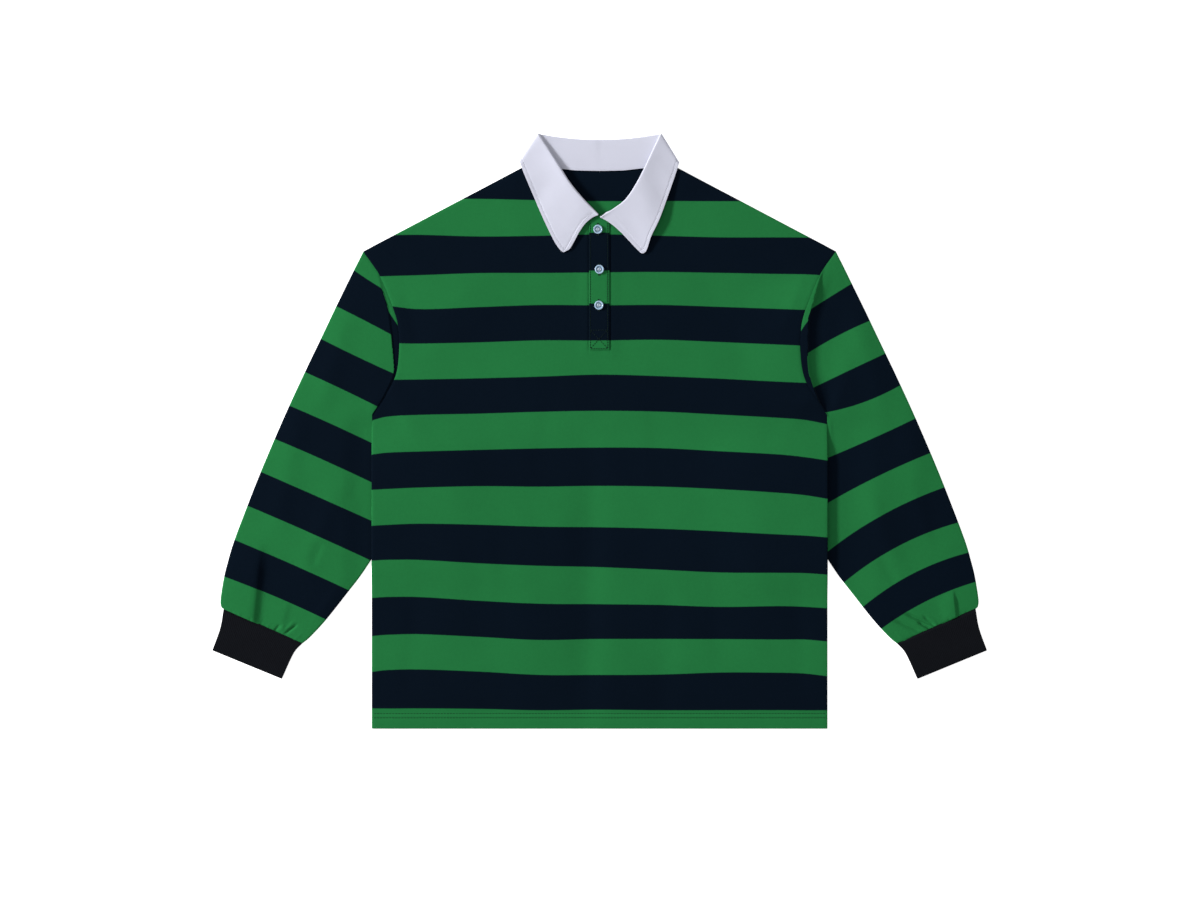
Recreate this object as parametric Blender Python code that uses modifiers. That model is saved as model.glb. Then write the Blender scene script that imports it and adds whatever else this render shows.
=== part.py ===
"""A long-sleeved rugby shirt, lying flat on its back with its arms down at its sides.

It is built from the pieces that a maker cuts and sews: a back, a front that is slit for
the placket, the placket's top and under bands, two sleeves, two ribbed cuffs, a collar
that rolls over at the neck, and three buttons. Each piece is a closed solid of its own.

Frame: the shirt lies on the plane z = 0 with its front up. +Y runs from the hem to the
neck, +X to the wearer's left, and the origin is the middle of the ground it covers.

Sizes are in millimetres, and the meshes in metres. A place on the cloth is (x, h): x out
from the centre line, and h up from the edge of the hem.
"""

import math

import bmesh
import bpy
from mathutils import Vector

MM = 0.001

# The whole garment
TOP_H = 783.0  # the collar's corners, the highest points
HALF_CHEST = 301.0
WALL = 1.1  # the jersey's thickness
LAID = 3.4  # two walls and the air between them
FOLD = 2.2  # how far in from its edge a folded side is rounded
SEAM = 0.5  # between two pieces that are sewn together
CORNER_SEAM = 0.8  # more than that, where a sleeve's folds meet the corners of the body
CORNER_REACH = 14.0
SEAM_SECTIONS = 2  # the sleeve sections over which that gap fades out
LIE = 0.35  # between a piece and what it lies on

# Outlines of one side, as (x, h). The other side mirrors them.
ARMHOLE_FRONT = (
    (310.9, 628.3),
    (290.9, 598.0),
    (272.4, 554.0),
    (266.4, 532.0),
    (264.7, 499.0),
    (271.0, 460.0),
    (293.0, 425.0),
    (301.0, 412.0),
)
ARMHOLE_BACK = (
    (310.9, 628.3),
    (295.5, 578.0),
    (287.0, 525.0),
    (284.5, 475.0),
    (291.0, 431.0),
    (301.0, 412.0),
)
SHOULDER = (
    (310.9, 628.3),
    (292.2, 640.5),
    (269.3, 651.0),
    (172.3, 701.6),
    (104.9, 737.4),
    (79.0, 751.0),
)
FRONT_NECK = (
    (2.0, 672.0),
    (28.0, 673.5),
    (52.0, 688.5),
    (69.0, 712.0),
    (78.8, 748.8),
    (79.0, 751.0),
)
BACK_NECK = (
    (0.0, 735.0),
    (32.0, 736.4),
    (60.0, 741.6),
    (77.0, 749.9),
    (79.0, 751.0),
)

# Each half of a panel is a fan of rows, from its inner edge to its side and armhole.
HEM_ROWS = (0.0, 18.0, 19.5, 60.0, 110.0, 160.0, 190.0, 216.0, 265.0, 315.0, 360.0, 386.0, 399.0)
ARMHOLE_STEPS = 8
FRONT_INNER = ((0.0, 460.0), (0.0, 512.0), (1.5, 592.0)) + FRONT_NECK[:4]
BACK_INNER = ((0.0, 490.0), (0.0, 588.0), (0.0, 682.0), (0.0, 712.0)) + BACK_NECK[:3]
FRONT_COLUMNS = (0.0, 0.06, 0.11, 0.2, 0.3, 0.41, 0.52, 0.63, 0.74, 0.85, 0.93, 1.0)
BACK_COLUMNS = (0.0, 0.14, 0.28, 0.42, 0.56, 0.68, 0.77, 0.85, 0.93, 1.0)

# A folded edge, from the middle of its height to its full height, as shares of FOLD in
# from the edge and of the height. A rim starts upright, to meet the rim below it.
FOLD_SHAPE = ((0.0, 0.0), (0.12, 0.5), (0.5, 0.87), (1.0, 1.0))
RIM_SHAPE = ((0.0, 0.0), (0.0, 0.3), (0.35, 0.78), (1.0, 1.0))
CUT_SHAPE = (0.0, 0.2, 0.5, 1.0)

# What lifts the panels off the floor: the sleeves' edges tucked under the sides, and the
# fall of the collar folded under the neck.
TUCK_LIFT = 3.6
TUCKED = 3.2  # the thickness of a sleeve under the body
TUCK_ACROSS = (220.0, 252.0)
TUCK_BELOW = (165.0, 216.0)
TUCK_ABOVE = (386.0, 412.0)
NECK_LIFT = 2.3
NECK_ACROSS = (108.0, 150.0)
NECK_BELOW = (690.0, 724.0)

HEM_DEPTH = (18.0, 19.5)
HEM_RISE = 0.5

# Soft folds, each a ridge or a trough along a line: from x, h to x, h, half its width,
# and its height.
FRONT_FOLDS = (
    (-196.0, 40.0, -182.0, 400.0, 34.0, 0.9),
    (-92.0, 20.0, -104.0, 350.0, 30.0, 0.7),
    (24.0, 10.0, 16.0, 260.0, 26.0, 0.6),
    (112.0, 30.0, 96.0, 390.0, 32.0, 0.8),
    (214.0, 50.0, 196.0, 420.0, 34.0, 1.0),
    (-250.0, 440.0, -150.0, 640.0, 28.0, 0.8),
    (244.0, 450.0, 160.0, 640.0, 28.0, 0.8),
)
SLEEVE_FOLDS = (
    (-330.0, 560.0, -372.0, 400.0, 15.0, 1.0),
    (-392.0, 430.0, -430.0, 250.0, 17.0, 1.2),
    (-340.0, 330.0, -395.0, 190.0, 15.0, 1.0),
    (-430.0, 250.0, -452.0, 150.0, 9.0, -1.0),
    (334.0, 560.0, 380.0, 390.0, 15.0, 1.1),
    (402.0, 420.0, 436.0, 240.0, 17.0, 1.1),
    (344.0, 330.0, 400.0, 200.0, 15.0, 1.0),
    (440.0, 230.0, 462.0, 150.0, 10.0, -0.9),
)
# Gathers where each sleeve is eased into its cuff: how far across from the outer fold,
# how far up the sleeve, half its width, and its height.
GATHERS = (
    (0.14, 30.0, 4.0, 1.2),
    (0.2, 26.0, 3.5, -0.9),
    (0.32, 40.0, 4.5, 1.6),
    (0.38, 44.0, 3.5, -1.1),
    (0.5, 30.0, 4.5, 1.3),
    (0.56, 24.0, 3.5, -0.9),
    (0.68, 32.0, 4.5, 1.4),
    (0.74, 24.0, 3.5, -1.0),
    (0.86, 26.0, 4.0, 1.1),
)

# A sleeve's sections, from the armhole to the cuff: its outer fold x, h; its inner fold
# x, h, and how far along the section that fold is rounded; its share of the armhole's bow;
# and how far it is puffed up.
SLEEVE_SECTIONS = (
    (310.9, 628.3, 301.0, 412.0, 5.0, 1.0, 0.0),
    (323.8, 602.7, 304.6, 402.5, 10.0, 0.8, 1.2),
    (346.6, 556.0, 304.0, 388.5, 8.0, 0.5, 1.5),
    (367.6, 511.8, 297.0, 374.0, 3.5, 0.25, 1.5),
    (388.2, 468.9, 285.0, 357.0, 2.6, 0.1, 1.4),
    (408.9, 424.2, 277.0, 331.0, 2.2, 0.02, 1.4),
    (427.8, 381.2, 274.0, 303.0, 2.2, 0.0, 1.4),
    (446.8, 336.2, 278.0, 272.0, 2.2, 0.0, 1.4),
    (464.0, 292.5, 289.0, 243.0, 2.2, 0.0, 1.4),
    (480.5, 245.8, 303.5, 220.5, 2.2, 0.0, 1.4),
    (488.0, 218.0, 318.0, 202.0, 2.2, 0.0, 1.3),
    (493.0, 198.1, 334.4, 182.6, 2.2, 0.0, 1.3),
    (499.4, 170.8, 361.7, 144.7, 2.2, 0.0, 1.1),
    (498.9, 160.5, 382.8, 122.4, 2.2, 0.0, 0.8),
    (496.0, 157.3, 393.4, 112.7, 2.2, 0.0, 0.4),
)
CORNER_FOLD = SLEEVE_SECTIONS[0][4]
SLEEVE_RINGS = (0, 0.35, 1, 1.5, 2, 3, 4, 5, 6, 7, 8, 9, 10, 11, 11.5, 12, 12.5, 13, 14)
TUCK_EDGE = (307.0, 325.0)  # a sleeve is thinned from here in, under the body's side
TUCK_TOP = (390.0, 420.0)

# A cuff's sections: outer fold x, h, and inner fold x, h
CUFF_SECTIONS = (
    (496.0, 157.3, 393.4, 112.7),
    (500.6, 132.0, 404.8, 99.6),
    (510.3, 103.5, 419.8, 66.4),
)
CUFF_WALL = 1.5
CUFF_LAID = 4.2
CUFF_RIBS = 34
RIB_HEIGHT = 0.5

# The collar, a row for each station from the centre back to its end at the front: the
# neck seam x, h; the roll line x, h and height; the roll's radius; the way its outer
# face looks in degrees, from -90 down to 90 up; then the cut edge x, h on the wearer's
# right and on their left.
COLLAR_WALL = 1.6
COLLAR_ROWS = (
    (0.0, 735.0, 0.0, 776.0, 2.12, 1.25, -90.0, 0.0, 731.0, 0.0, 731.0),
    (32.0, 736.4, 34.0, 777.0, 2.12, 1.25, -90.0, 37.0, 732.0, 37.0, 732.0),
    (60.0, 741.6, 64.0, 780.0, 2.15, 1.25, -90.0, 73.0, 736.5, 73.0, 736.5),
    (77.0, 749.9, 79.0, 782.0, 3.0, 1.25, -45.0, 101.5, 744.5, 101.5, 744.5),
    (79.0, 751.0, 80.2, 782.2, 4.6, 1.3, 0.0, 104.4, 746.0, 104.4, 746.0),
    (78.8, 748.8, 78.6, 779.5, 6.3, 1.5, 45.0, 102.6, 742.3, 102.6, 742.3),
    (75.1, 735.0, 67.0, 762.5, 7.8, 1.8, 85.0, 97.6, 729.0, 98.6, 728.0),
    (69.0, 712.0, 53.0, 741.0, 9.3, 2.2, 90.0, 87.5, 703.0, 89.6, 701.0),
    (52.0, 688.5, 36.0, 718.0, 9.6, 2.2, 90.0, 75.0, 673.5, 79.5, 672.0),
    (28.0, 673.5, 19.0, 698.0, 9.2, 2.0, 90.0, 60.0, 642.5, 68.5, 648.0),
    (10.0, 672.5, 8.0, 685.5, 8.6, 1.7, 90.0, 51.5, 629.2, 62.0, 632.0),
    (2.0, 672.0, 1.8, 678.5, 8.0, 1.4, 90.0, 43.8, 627.6, 56.2, 626.9),
)
COLLAR_STEPS = (1, 2, 2, 2, 2, 2, 2, 2, 2, 2, 2)  # stations between one row and the next
NECK_POINT = 4  # the row at the shoulder seam, where the neck seam turns to the front
COLLAR_SIDE = Vector((0.84, 0.545))  # square to the fold at the side of the neck
COLLAR_TURNS = (0.1, 0.9)  # from under the back to over the front, as shares of its turn
COLLAR_UNDER = 0.9  # the height of the middle of the fall where it lies under the neck
LEAF_CLEAR = 1.4  # from the front panel up to the middle of the leaf that lies on it
LEAF_DROP = 1.6  # how fast the leaf comes down from its roll
END_BOW = {1: 1.0, -1: 7.0}  # how far each front end curves back from a straight line
STAND_CLEAR = 0.5  # between the neck seam's two edges
STAND_RISE = 0.7  # from the underside of the back panel to the middle of the stand

# The placket, on the front's centre line
PLACKET_LIFT = 0.5
PLACKET_ACROSS = (16.0, 30.0)
PLACKET_BELOW = (478.0, 500.0)
TOP_BAND = (-13.9, 13.2, 499.0, 668.5, 671.3)  # left, right, bottom, top at left, at right
TOP_BAND_WALL = 1.0
UNDER_BAND = (-11.0, 13.0, 504.0, 668.0, 670.0)
UNDER_BAND_WALL = 0.9

# The buttons: x and h of each, and a section from the top of the middle to the bottom
BUTTONS = ((-2.2, 657.9), (-0.3, 605.1), (-0.9, 557.8))
BUTTON_PROFILE = (
    (0.0, 1.6),
    (3.5, 1.6),
    (4.4, 2.2),
    (5.2, 2.4),
    (6.0, 1.8),
    (6.0, 0.9),
    (5.0, 0.0),
    (0.0, 0.0),
)
BUTTON_STEPS = 20
HOLE_RADIUS = 0.75
HOLE_OFFSET = 1.35

COLOURS = {
    "jersey": (0.018, 0.168, 0.047, 1.0),
    "jersey_dark": (0.004, 0.006, 0.012, 1.0),
    "collar": (0.68, 0.69, 0.79, 1.0),
    "rib": (0.008, 0.008, 0.01, 1.0),
    "button": (0.6, 0.66, 0.78, 1.0),
}
ROUGHNESS = {"jersey": 0.85, "jersey_dark": 0.85, "collar": 0.8, "rib": 0.9, "button": 0.35}


# ---------------------------------------------------------------- helpers


def smooth(low, high, value):
    """0 below low and 1 above high, with an S curve between them."""
    share = min(max((value - low) / (high - low), 0.0), 1.0)
    return share * share * (3 - 2 * share)


def lerp(a, b, share):
    return a + (b - a) * share


def row_at(table, index):
    """The row of a table at an index that may lie between two rows, on a smooth curve."""
    i = min(int(index), len(table) - 2)
    t = index - i
    last = len(table) - 1
    rows = [table[min(max(k, 0), last)] for k in (i - 1, i, i + 1, i + 2)]
    return [
        b + 0.5 * t * (c - a + t * (2 * a - 5 * b + 4 * c - d + t * (3 * (b - c) + d - a)))
        for a, b, c, d in zip(*rows)
    ]


class Outline:
    """A smooth line through a table's points, read by the distance along it."""

    def __init__(self, points):
        self.points = [Vector(point) for point in points]
        self.marks = [0.0]
        for a, b in zip(self.points, self.points[1:]):
            self.marks.append(self.marks[-1] + (b - a).length)
        self.length = self.marks[-1]

    def slope(self, i):
        low = max(i - 1, 0)
        high = min(i + 1, len(self.points) - 1)
        return (self.points[high] - self.points[low]) / (self.marks[high] - self.marks[low])

    def at(self, distance):
        i = 0
        while i < len(self.points) - 2 and distance > self.marks[i + 1]:
            i += 1
        span = self.marks[i + 1] - self.marks[i]
        t = (distance - self.marks[i]) / span
        rise = t * t * (3 - 2 * t)
        return (
            self.points[i] * (1 - rise)
            + self.points[i + 1] * rise
            + self.slope(i) * (span * t * (1 - t) ** 2)
            - self.slope(i + 1) * (span * t * t * (1 - t))
        )

    def outward(self, distance):
        """Square to the line, away from the body."""
        step = self.at(min(distance + 1, self.length)) - self.at(max(distance - 1, 0))
        return Vector((-step.y, step.x)).normalized()


def principled(name):
    material = bpy.data.materials.new(name)
    material.use_nodes = True
    shader = material.node_tree.nodes["Principled BSDF"]
    shader.inputs["Base Color"].default_value = COLOURS[name]
    shader.inputs["Roughness"].default_value = ROUGHNESS[name]
    shader.inputs["Metallic"].default_value = 0.0
    return material


def mesh_object(name, points, faces, material, collection):
    """An object from (x, h, z) points in millimetres."""
    mesh = bpy.data.meshes.new(name)
    placed = [(x * MM, (h - TOP_H / 2) * MM, z * MM) for x, h, z in points]
    mesh.from_pydata(placed, [], faces)
    cleaned = bmesh.new()
    cleaned.from_mesh(mesh)
    bmesh.ops.remove_doubles(cleaned, verts=cleaned.verts, dist=1e-7)
    cleaned.to_mesh(mesh)
    cleaned.free()
    mesh.shade_smooth()
    mesh.set_sharp_from_angle(angle=math.radians(50))
    mesh.materials.append(material)
    made = bpy.data.objects.new(name, mesh)
    collection.objects.link(made)
    return made


def grid_faces(rows, columns, start=0, flip=False, ring=False):
    """The quads between neighbouring rows of points. A ring also joins its ends."""
    faces = []
    for i in range(rows - 1):
        for j in range(columns if ring else columns - 1):
            k = (j + 1) % columns
            low = start + i * columns
            high = low + columns
            face = (low + j, low + k, high + k, high + j)
            faces.append(face[::-1] if flip else face)
    return faces


def thicken(made, wall, offset=-1.0):
    """Gives an open surface its wall, inward from it unless offset says otherwise."""
    solid = made.modifiers.new("wall", "SOLIDIFY")
    solid.thickness = wall * MM
    solid.offset = offset
    solid.use_even_offset = True
    solid.use_quality_normals = True
    solid.use_rim = True
    return solid


# ---------------------------------------------------------------- how the cloth lies


def fold_height(x, h, folds):
    """The sum of the ridges and troughs at a place."""
    total = 0.0
    place = Vector((x, h))
    for x0, h0, x1, h1, width, height in folds:
        start = Vector((x0, h0))
        run = Vector((x1, h1)) - start
        along = (place - start).dot(run) / run.length_squared
        away = (place - start - run * min(max(along, 0.0), 1.0)).length
        fade = smooth(-0.1, 0.3, along) * (1 - smooth(0.7, 1.1, along))
        total += height * fade * math.exp(-((away / width) ** 2))
    return total


def lift(x, h):
    """How high the back panel's underside lies above the floor."""
    side = smooth(*TUCK_ACROSS, abs(x)) * smooth(*TUCK_BELOW, h) * (1 - smooth(*TUCK_ABOVE, h))
    neck = (1 - smooth(*NECK_ACROSS, abs(x))) * smooth(*NECK_BELOW, h)
    return TUCK_LIFT * side + NECK_LIFT * neck


def front_top(x, h):
    """The height of the front panel's outer face, away from its folded edges."""
    band = (1 - smooth(*PLACKET_ACROSS, abs(x))) * smooth(*PLACKET_BELOW, h)
    hem = 1 - smooth(*HEM_DEPTH, h)
    return lift(x, h) + LAID + PLACKET_LIFT * band + HEM_RISE * hem + fold_height(x, h, FRONT_FOLDS)


# ---------------------------------------------------------------- front and back panels


def shoulder_bow(share):
    """How far the shoulder line runs outside a straight one, from the neck to the tip."""
    line = Outline(SHOULDER)
    tip, neck = line.points[0], line.points[-1]
    return line.at(line.length * (1 - share)) - lerp(neck, tip, share)


def panel_rows(armhole, inner, neck):
    """A half panel's rows: inner point, edge point, whether the side there is folded, the
    share of the panel's height, and the share of the shoulder's bow."""
    rows = [(Vector((0.0, h)), Vector((HALF_CHEST, h)), 1.0, 1.0, 0.0) for h in HEM_ROWS]
    line = Outline(armhole)
    underarm = line.points[-1].y
    for away, height in FOLD_SHAPE:
        edge = line.at(line.length - away * CORNER_FOLD)
        start = Vector((0.0, underarm + away * CORNER_FOLD))
        rows.append((start, edge, 1.0 - height, 1.0, 0.0))
    span = (line.length - FOLD - CORNER_FOLD) / ARMHOLE_STEPS
    for i, point in enumerate(inner, 1):
        edge = line.at(line.length - CORNER_FOLD - span * i)
        bow = max(0.0, 1 - 0.35 * (ARMHOLE_STEPS - i))
        rows.append((Vector(point), edge, 0.0, 1.0, bow))
    neck_line = (Vector(neck[-1]) - Vector(neck[-2])).normalized()
    for away, height in reversed(RIM_SHAPE):
        start = Vector(neck[-1]) - neck_line * (away * FOLD)
        rows.append((start, line.at(away * FOLD), 0.0, height, 1.0))
    return rows


def panel_half(side, rows, columns, surface, edge_rise):
    """The points of one half, on the outer face of the cloth."""
    points = []
    for start, edge, folded, height, bow in rows:
        run = edge - start
        length = run.length
        places = [(share * (length - FOLD), 1.0) for share in columns[:-1]]
        for (away, share), cut in reversed(list(zip(RIM_SHAPE, CUT_SHAPE))):
            inset = FOLD * lerp(cut, away, folded)
            places.append((length - inset, lerp(1.0, share, folded)))
        for distance, share in places:
            place = start + run * (distance / length)
            place += shoulder_bow(distance / length) * bow
            x = place.x * side
            middle = lift(x, place.y) + LAID / 2 + edge_rise
            z = lerp(middle, surface(x, place.y), height * share)
            points.append((x, place.y, z))
    return points


def panel(name, armhole, inner, neck, columns, surface, edge_rise, face_up, material, collection):
    """A front or back panel from its two halves, joined along the centre line."""
    rows = panel_rows(armhole, inner, neck)
    across = len(columns) + 3
    points = []
    faces = []
    for side in (1, -1):
        faces += grid_faces(len(rows), across, len(points), flip=(side > 0) != face_up)
        points += panel_half(side, rows, columns, surface, edge_rise)
    made = mesh_object(name, points, faces, material, collection)
    thicken(made, WALL)
    return made


# ---------------------------------------------------------------- sleeves and cuffs


def stations(width, steps, inner_fold=FOLD):
    """Places across a flattened tube, from its outer fold to its inner one: how far in,
    and the share of the height there."""
    outer = [(away * FOLD, height) for away, height in FOLD_SHAPE]
    inner = [(width - away * inner_fold, height) for away, height in reversed(FOLD_SHAPE)]
    middle = [(lerp(FOLD, width - inner_fold, i / steps), 1.0) for i in range(1, steps)]
    return outer + middle + inner


def armhole_bow(line, share):
    """How far the armhole runs inside a straight line from the shoulder to the underarm."""
    return line.at(line.length * share) - lerp(line.points[0], line.points[-1], share)


def gather_height(section, distance, width, outer_h):
    """The gathers above the cuff, by the place across and the distance up from the seam."""
    last = len(SLEEVE_SECTIONS) - 1
    seam_h = SLEEVE_SECTIONS[last][1]
    total = 0.0
    for share, reach, half_width, height in GATHERS:
        up = max(outer_h - seam_h, 0.0) + 11.0 * max(last - section, 0.0)
        fade = (1 - smooth(0.35 * reach, reach, up)) * smooth(-4.0, 3.0, up)
        away = (distance - share * width) / half_width
        total += height * fade * math.exp(-away * away)
    return total


def sleeve_top(side, x, h, puff, section, distance, width, outer_h):
    """The height of a sleeve's upper face, thinner where it is tucked under the body."""
    dome = (4 * distance / width * (1 - distance / width)) ** 0.6
    top = LAID + puff * dome + fold_height(x * side, h, SLEEVE_FOLDS)
    top += gather_height(section, distance, width, outer_h)
    tuck = (1 - smooth(*TUCK_EDGE, x)) * (1 - smooth(*TUCK_TOP, h))
    return lerp(top, TUCKED, tuck)


def sleeve_ring(side, section, upper, lower, inset):
    """One closed section round a sleeve, over the top to the inner fold and back below."""
    outer_x, outer_h, inner_x, inner_h, inner_fold, share, puff = row_at(SLEEVE_SECTIONS, section)
    outer = Vector((outer_x, outer_h))
    inner = Vector((inner_x, inner_h))
    ring = []
    for line, steps, is_top in ((upper, 2 * ARMHOLE_STEPS, True), (lower, ARMHOLE_STEPS, False)):
        width = lerp((inner - outer).length, line.length, share)
        layer = []
        for from_edge, height in stations(width, steps, inner_fold):
            distance = lerp(inset, width - inset, from_edge / width)
            across = distance / width
            place = lerp(outer, inner, across)
            bow = armhole_bow(line, across)
            place += bow * max(share, 0.0) ** (1 + 3 * across)
            if section < SEAM_SECTIONS:
                corner = 1 - smooth(0.0, CORNER_REACH, min(from_edge, width - from_edge))
                end = upper.outward(round(across) * upper.length)
                end += lower.outward(round(across) * lower.length)
                away = lerp(line.outward(line.length * across), end.normalized(), corner)
                fade = 1 - section / SEAM_SECTIONS
                place += away.normalized() * (SEAM + CORNER_SEAM * corner) * fade
            top = sleeve_top(side, place.x, place.y, puff, section, distance, width, outer_h)
            full = top - inset if is_top else inset
            layer.append((place.x * side, place.y, lerp(top / 2, full, height)))
        if section == 0 and is_top:
            # The armhole's edge has every second point of these, and straight runs between.
            first = len(FOLD_SHAPE)
            for k in range(first, len(layer) - first, 2):
                layer[k] = tuple(Vector(layer[k - 1]).lerp(Vector(layer[k + 1]), 0.5))
        ring += layer if is_top else layer[-2:0:-1]
    return ring


def tube(name, outer_rings, inner_rings, side, material, collection):
    """A tube with a wall: sections along its outside, and back along its inside."""
    rings = outer_rings + inner_rings[::-1]
    around = len(rings[0])
    points = [point for ring in rings for point in ring]
    faces = grid_faces(len(rings), around, flip=side < 0, ring=True)
    last = (len(rings) - 1) * around
    for j in range(around):
        k = (j + 1) % around
        face = (last + j, last + k, k, j)
        faces.append(face[::-1] if side < 0 else face)
    return mesh_object(name, points, faces, material, collection)


def sleeve(name, side, material, collection):
    upper = Outline(ARMHOLE_FRONT)
    lower = Outline(ARMHOLE_BACK)
    outside, inside = (
        [sleeve_ring(side, section, upper, lower, inset) for section in SLEEVE_RINGS]
        for inset in (0.0, WALL)
    )
    return tube(name, outside, inside, side, material, collection)


def cuff_ring(side, row, inset):
    """A section round a cuff. Its outside is ribbed on top, and its inside is plain."""
    outer = Vector(row[:2])
    inner = Vector(row[2:])
    run = (inner - outer).normalized()
    width = (inner - outer).length
    ring = []
    for is_top, steps in ((True, 2 * CUFF_RIBS), (False, ARMHOLE_STEPS)):
        layer = []
        for i, (distance, height) in enumerate(stations(width, steps)):
            share = distance / width
            place = outer + run * lerp(inset, width - inset, share)
            rib = RIB_HEIGHT * (i % 2) if is_top and not inset and height == 1.0 else 0.0
            full = CUFF_LAID - inset + rib if is_top else inset
            layer.append((place.x * side, place.y, lerp(CUFF_LAID / 2, full, height)))
        ring += layer if is_top else layer[-2:0:-1]
    return ring


def cuff(name, side, material, collection):
    first, second = (Vector(row[:2]) for row in CUFF_SECTIONS[:2])
    away = (second - first).normalized() * SEAM
    start = [size + gap for size, gap in zip(CUFF_SECTIONS[0], (*away, *away))]
    rows = [start, *CUFF_SECTIONS[1:]]
    outside, inside = ([cuff_ring(side, row, inset) for row in rows] for inset in (0.0, CUFF_WALL))
    return tube(name, outside, inside, side, material, collection)


# ---------------------------------------------------------------- collar


def neck_offset(index):
    """Square to the neck seam at a station, into the neck hole."""
    here = int(min(index, len(COLLAR_ROWS) - 2))
    pairs = [here, here - 1] if index == here and here > 0 else [here]
    total = Vector((0.0, 0.0))
    for k in pairs:
        step = (Vector(COLLAR_ROWS[k + 1][:2]) - Vector(COLLAR_ROWS[k][:2])).normalized()
        turned = Vector((-step.y, step.x))
        total += turned if k < NECK_POINT else -turned
    return total.normalized()


def collar_station(side, index):
    """The points of one station, from the neck seam over the roll to the cut edge."""
    row = row_at(COLLAR_ROWS, index)
    _, _, roll_x, roll_h, roll_z, radius, turn = row[:7]
    cut_x, cut_h = row[9:11] if side > 0 else row[7:9]
    before = COLLAR_ROWS[int(index)]
    after = COLLAR_ROWS[min(int(index) + 1, len(COLLAR_ROWS) - 1)]
    part = index - int(index)
    turn = math.radians(min(max(turn, -90.0), 90.0))
    over = (1 + math.sin(turn)) / 2
    seam = Vector((lerp(before[0], after[0], part), lerp(before[1], after[1], part)))
    level = lerp(lift(seam.x, seam.y) + STAND_RISE, front_top(seam.x * side, seam.y) - WALL / 2, over)
    seam += neck_offset(index) * (STAND_CLEAR + COLLAR_WALL / 2 * math.cos(turn))
    on_top = smooth(*COLLAR_TURNS, over)
    cut_z = lerp(COLLAR_UNDER, front_top(cut_x * side, cut_h) + LEAF_CLEAR, on_top)
    start = Vector((seam.x, seam.y, level))
    roll = Vector((roll_x, roll_h, roll_z))
    end = Vector((cut_x, cut_h, cut_z))
    facing = (COLLAR_SIDE * math.cos(turn)).to_3d() + Vector((0, 0, math.sin(turn)))
    back = ((start - roll).normalized() + (end - roll).normalized()).normalized()
    middle = roll + back * radius
    arc = []
    for angle in (-90, -45, 0, 45, 90):
        bend = math.radians(angle)
        arc.append(middle + (facing * math.sin(bend) - back * math.cos(bend)) * radius)
    line = [start, lerp(start, arc[0], 0.35), lerp(start, arc[0], 0.7)] + arc
    last = len(COLLAR_ROWS) - 1
    bow = END_BOW[side] * smooth(last - 1.5, last, index)
    for share in (0.25, 0.5, 0.75, 1.0):
        place = lerp(arc[-1], end, share)
        drop = lerp(end.z, arc[-1].z, (1 - share) ** LEAF_DROP)
        place.z = lerp(place.z, drop, over)
        curve = bow * 6.75 * share * (1 - share) ** 2
        place += Vector((0.76, 0.65, 0.0)) * curve
        line.append(place)
    return [(point.x * side, point.y, point.z) for point in line]


def collar(name, material, collection):
    indices = []
    for row, steps in enumerate(COLLAR_STEPS):
        indices += [row + i / steps for i in range(steps)]
    indices.append(len(COLLAR_ROWS) - 1)
    lines = [collar_station(-1, index) for index in reversed(indices[1:])]
    lines += [collar_station(1, index) for index in indices]
    points = [point for line in lines for point in line]
    faces = grid_faces(len(lines), len(lines[0]))
    made = mesh_object(name, points, faces, material, collection)
    thicken(made, COLLAR_WALL, offset=0.0)
    return made


# ---------------------------------------------------------------- placket and buttons


def band(name, sizes, below, wall, material, collection):
    """A placket band on the front panel's own heights, its outer face up."""
    left, right, bottom, top_left, top_right = sizes
    columns = (0.0, 0.06, 0.36, 0.64, 0.94, 1.0)
    rows = 9
    points = []
    for i in range(rows):
        for share in columns:
            x = lerp(left, right, share)
            h = lerp(bottom, lerp(top_left, top_right, share), i / (rows - 1))
            points.append((x, h, front_top(x, h) + below))
    made = mesh_object(name, points, grid_faces(rows, len(columns)), material, collection)
    thicken(made, wall)
    return made


def button_cutter(x, h, z, number, collection):
    """The four thread holes of one button."""
    drills = bmesh.new()
    for turn in range(4):
        angle = math.radians(45 + 90 * turn)
        made = bmesh.ops.create_cone(
            drills,
            cap_ends=True,
            segments=6,
            radius1=HOLE_RADIUS * MM,
            radius2=HOLE_RADIUS * MM,
            depth=8 * MM,
        )
        place = Vector((math.cos(angle), math.sin(angle), 0.0)) * HOLE_OFFSET * math.sqrt(2) * MM
        bmesh.ops.translate(drills, verts=made["verts"], vec=place)
    mesh = bpy.data.meshes.new(f"holes_{number}")
    drills.to_mesh(mesh)
    drills.free()
    cutter = bpy.data.objects.new(f"holes_{number}", mesh)
    cutter.location = (x * MM, (h - TOP_H / 2) * MM, (z + 1.0) * MM)
    cutter.hide_render = True
    cutter.display_type = "WIRE"
    collection.objects.link(cutter)
    return cutter


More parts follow.
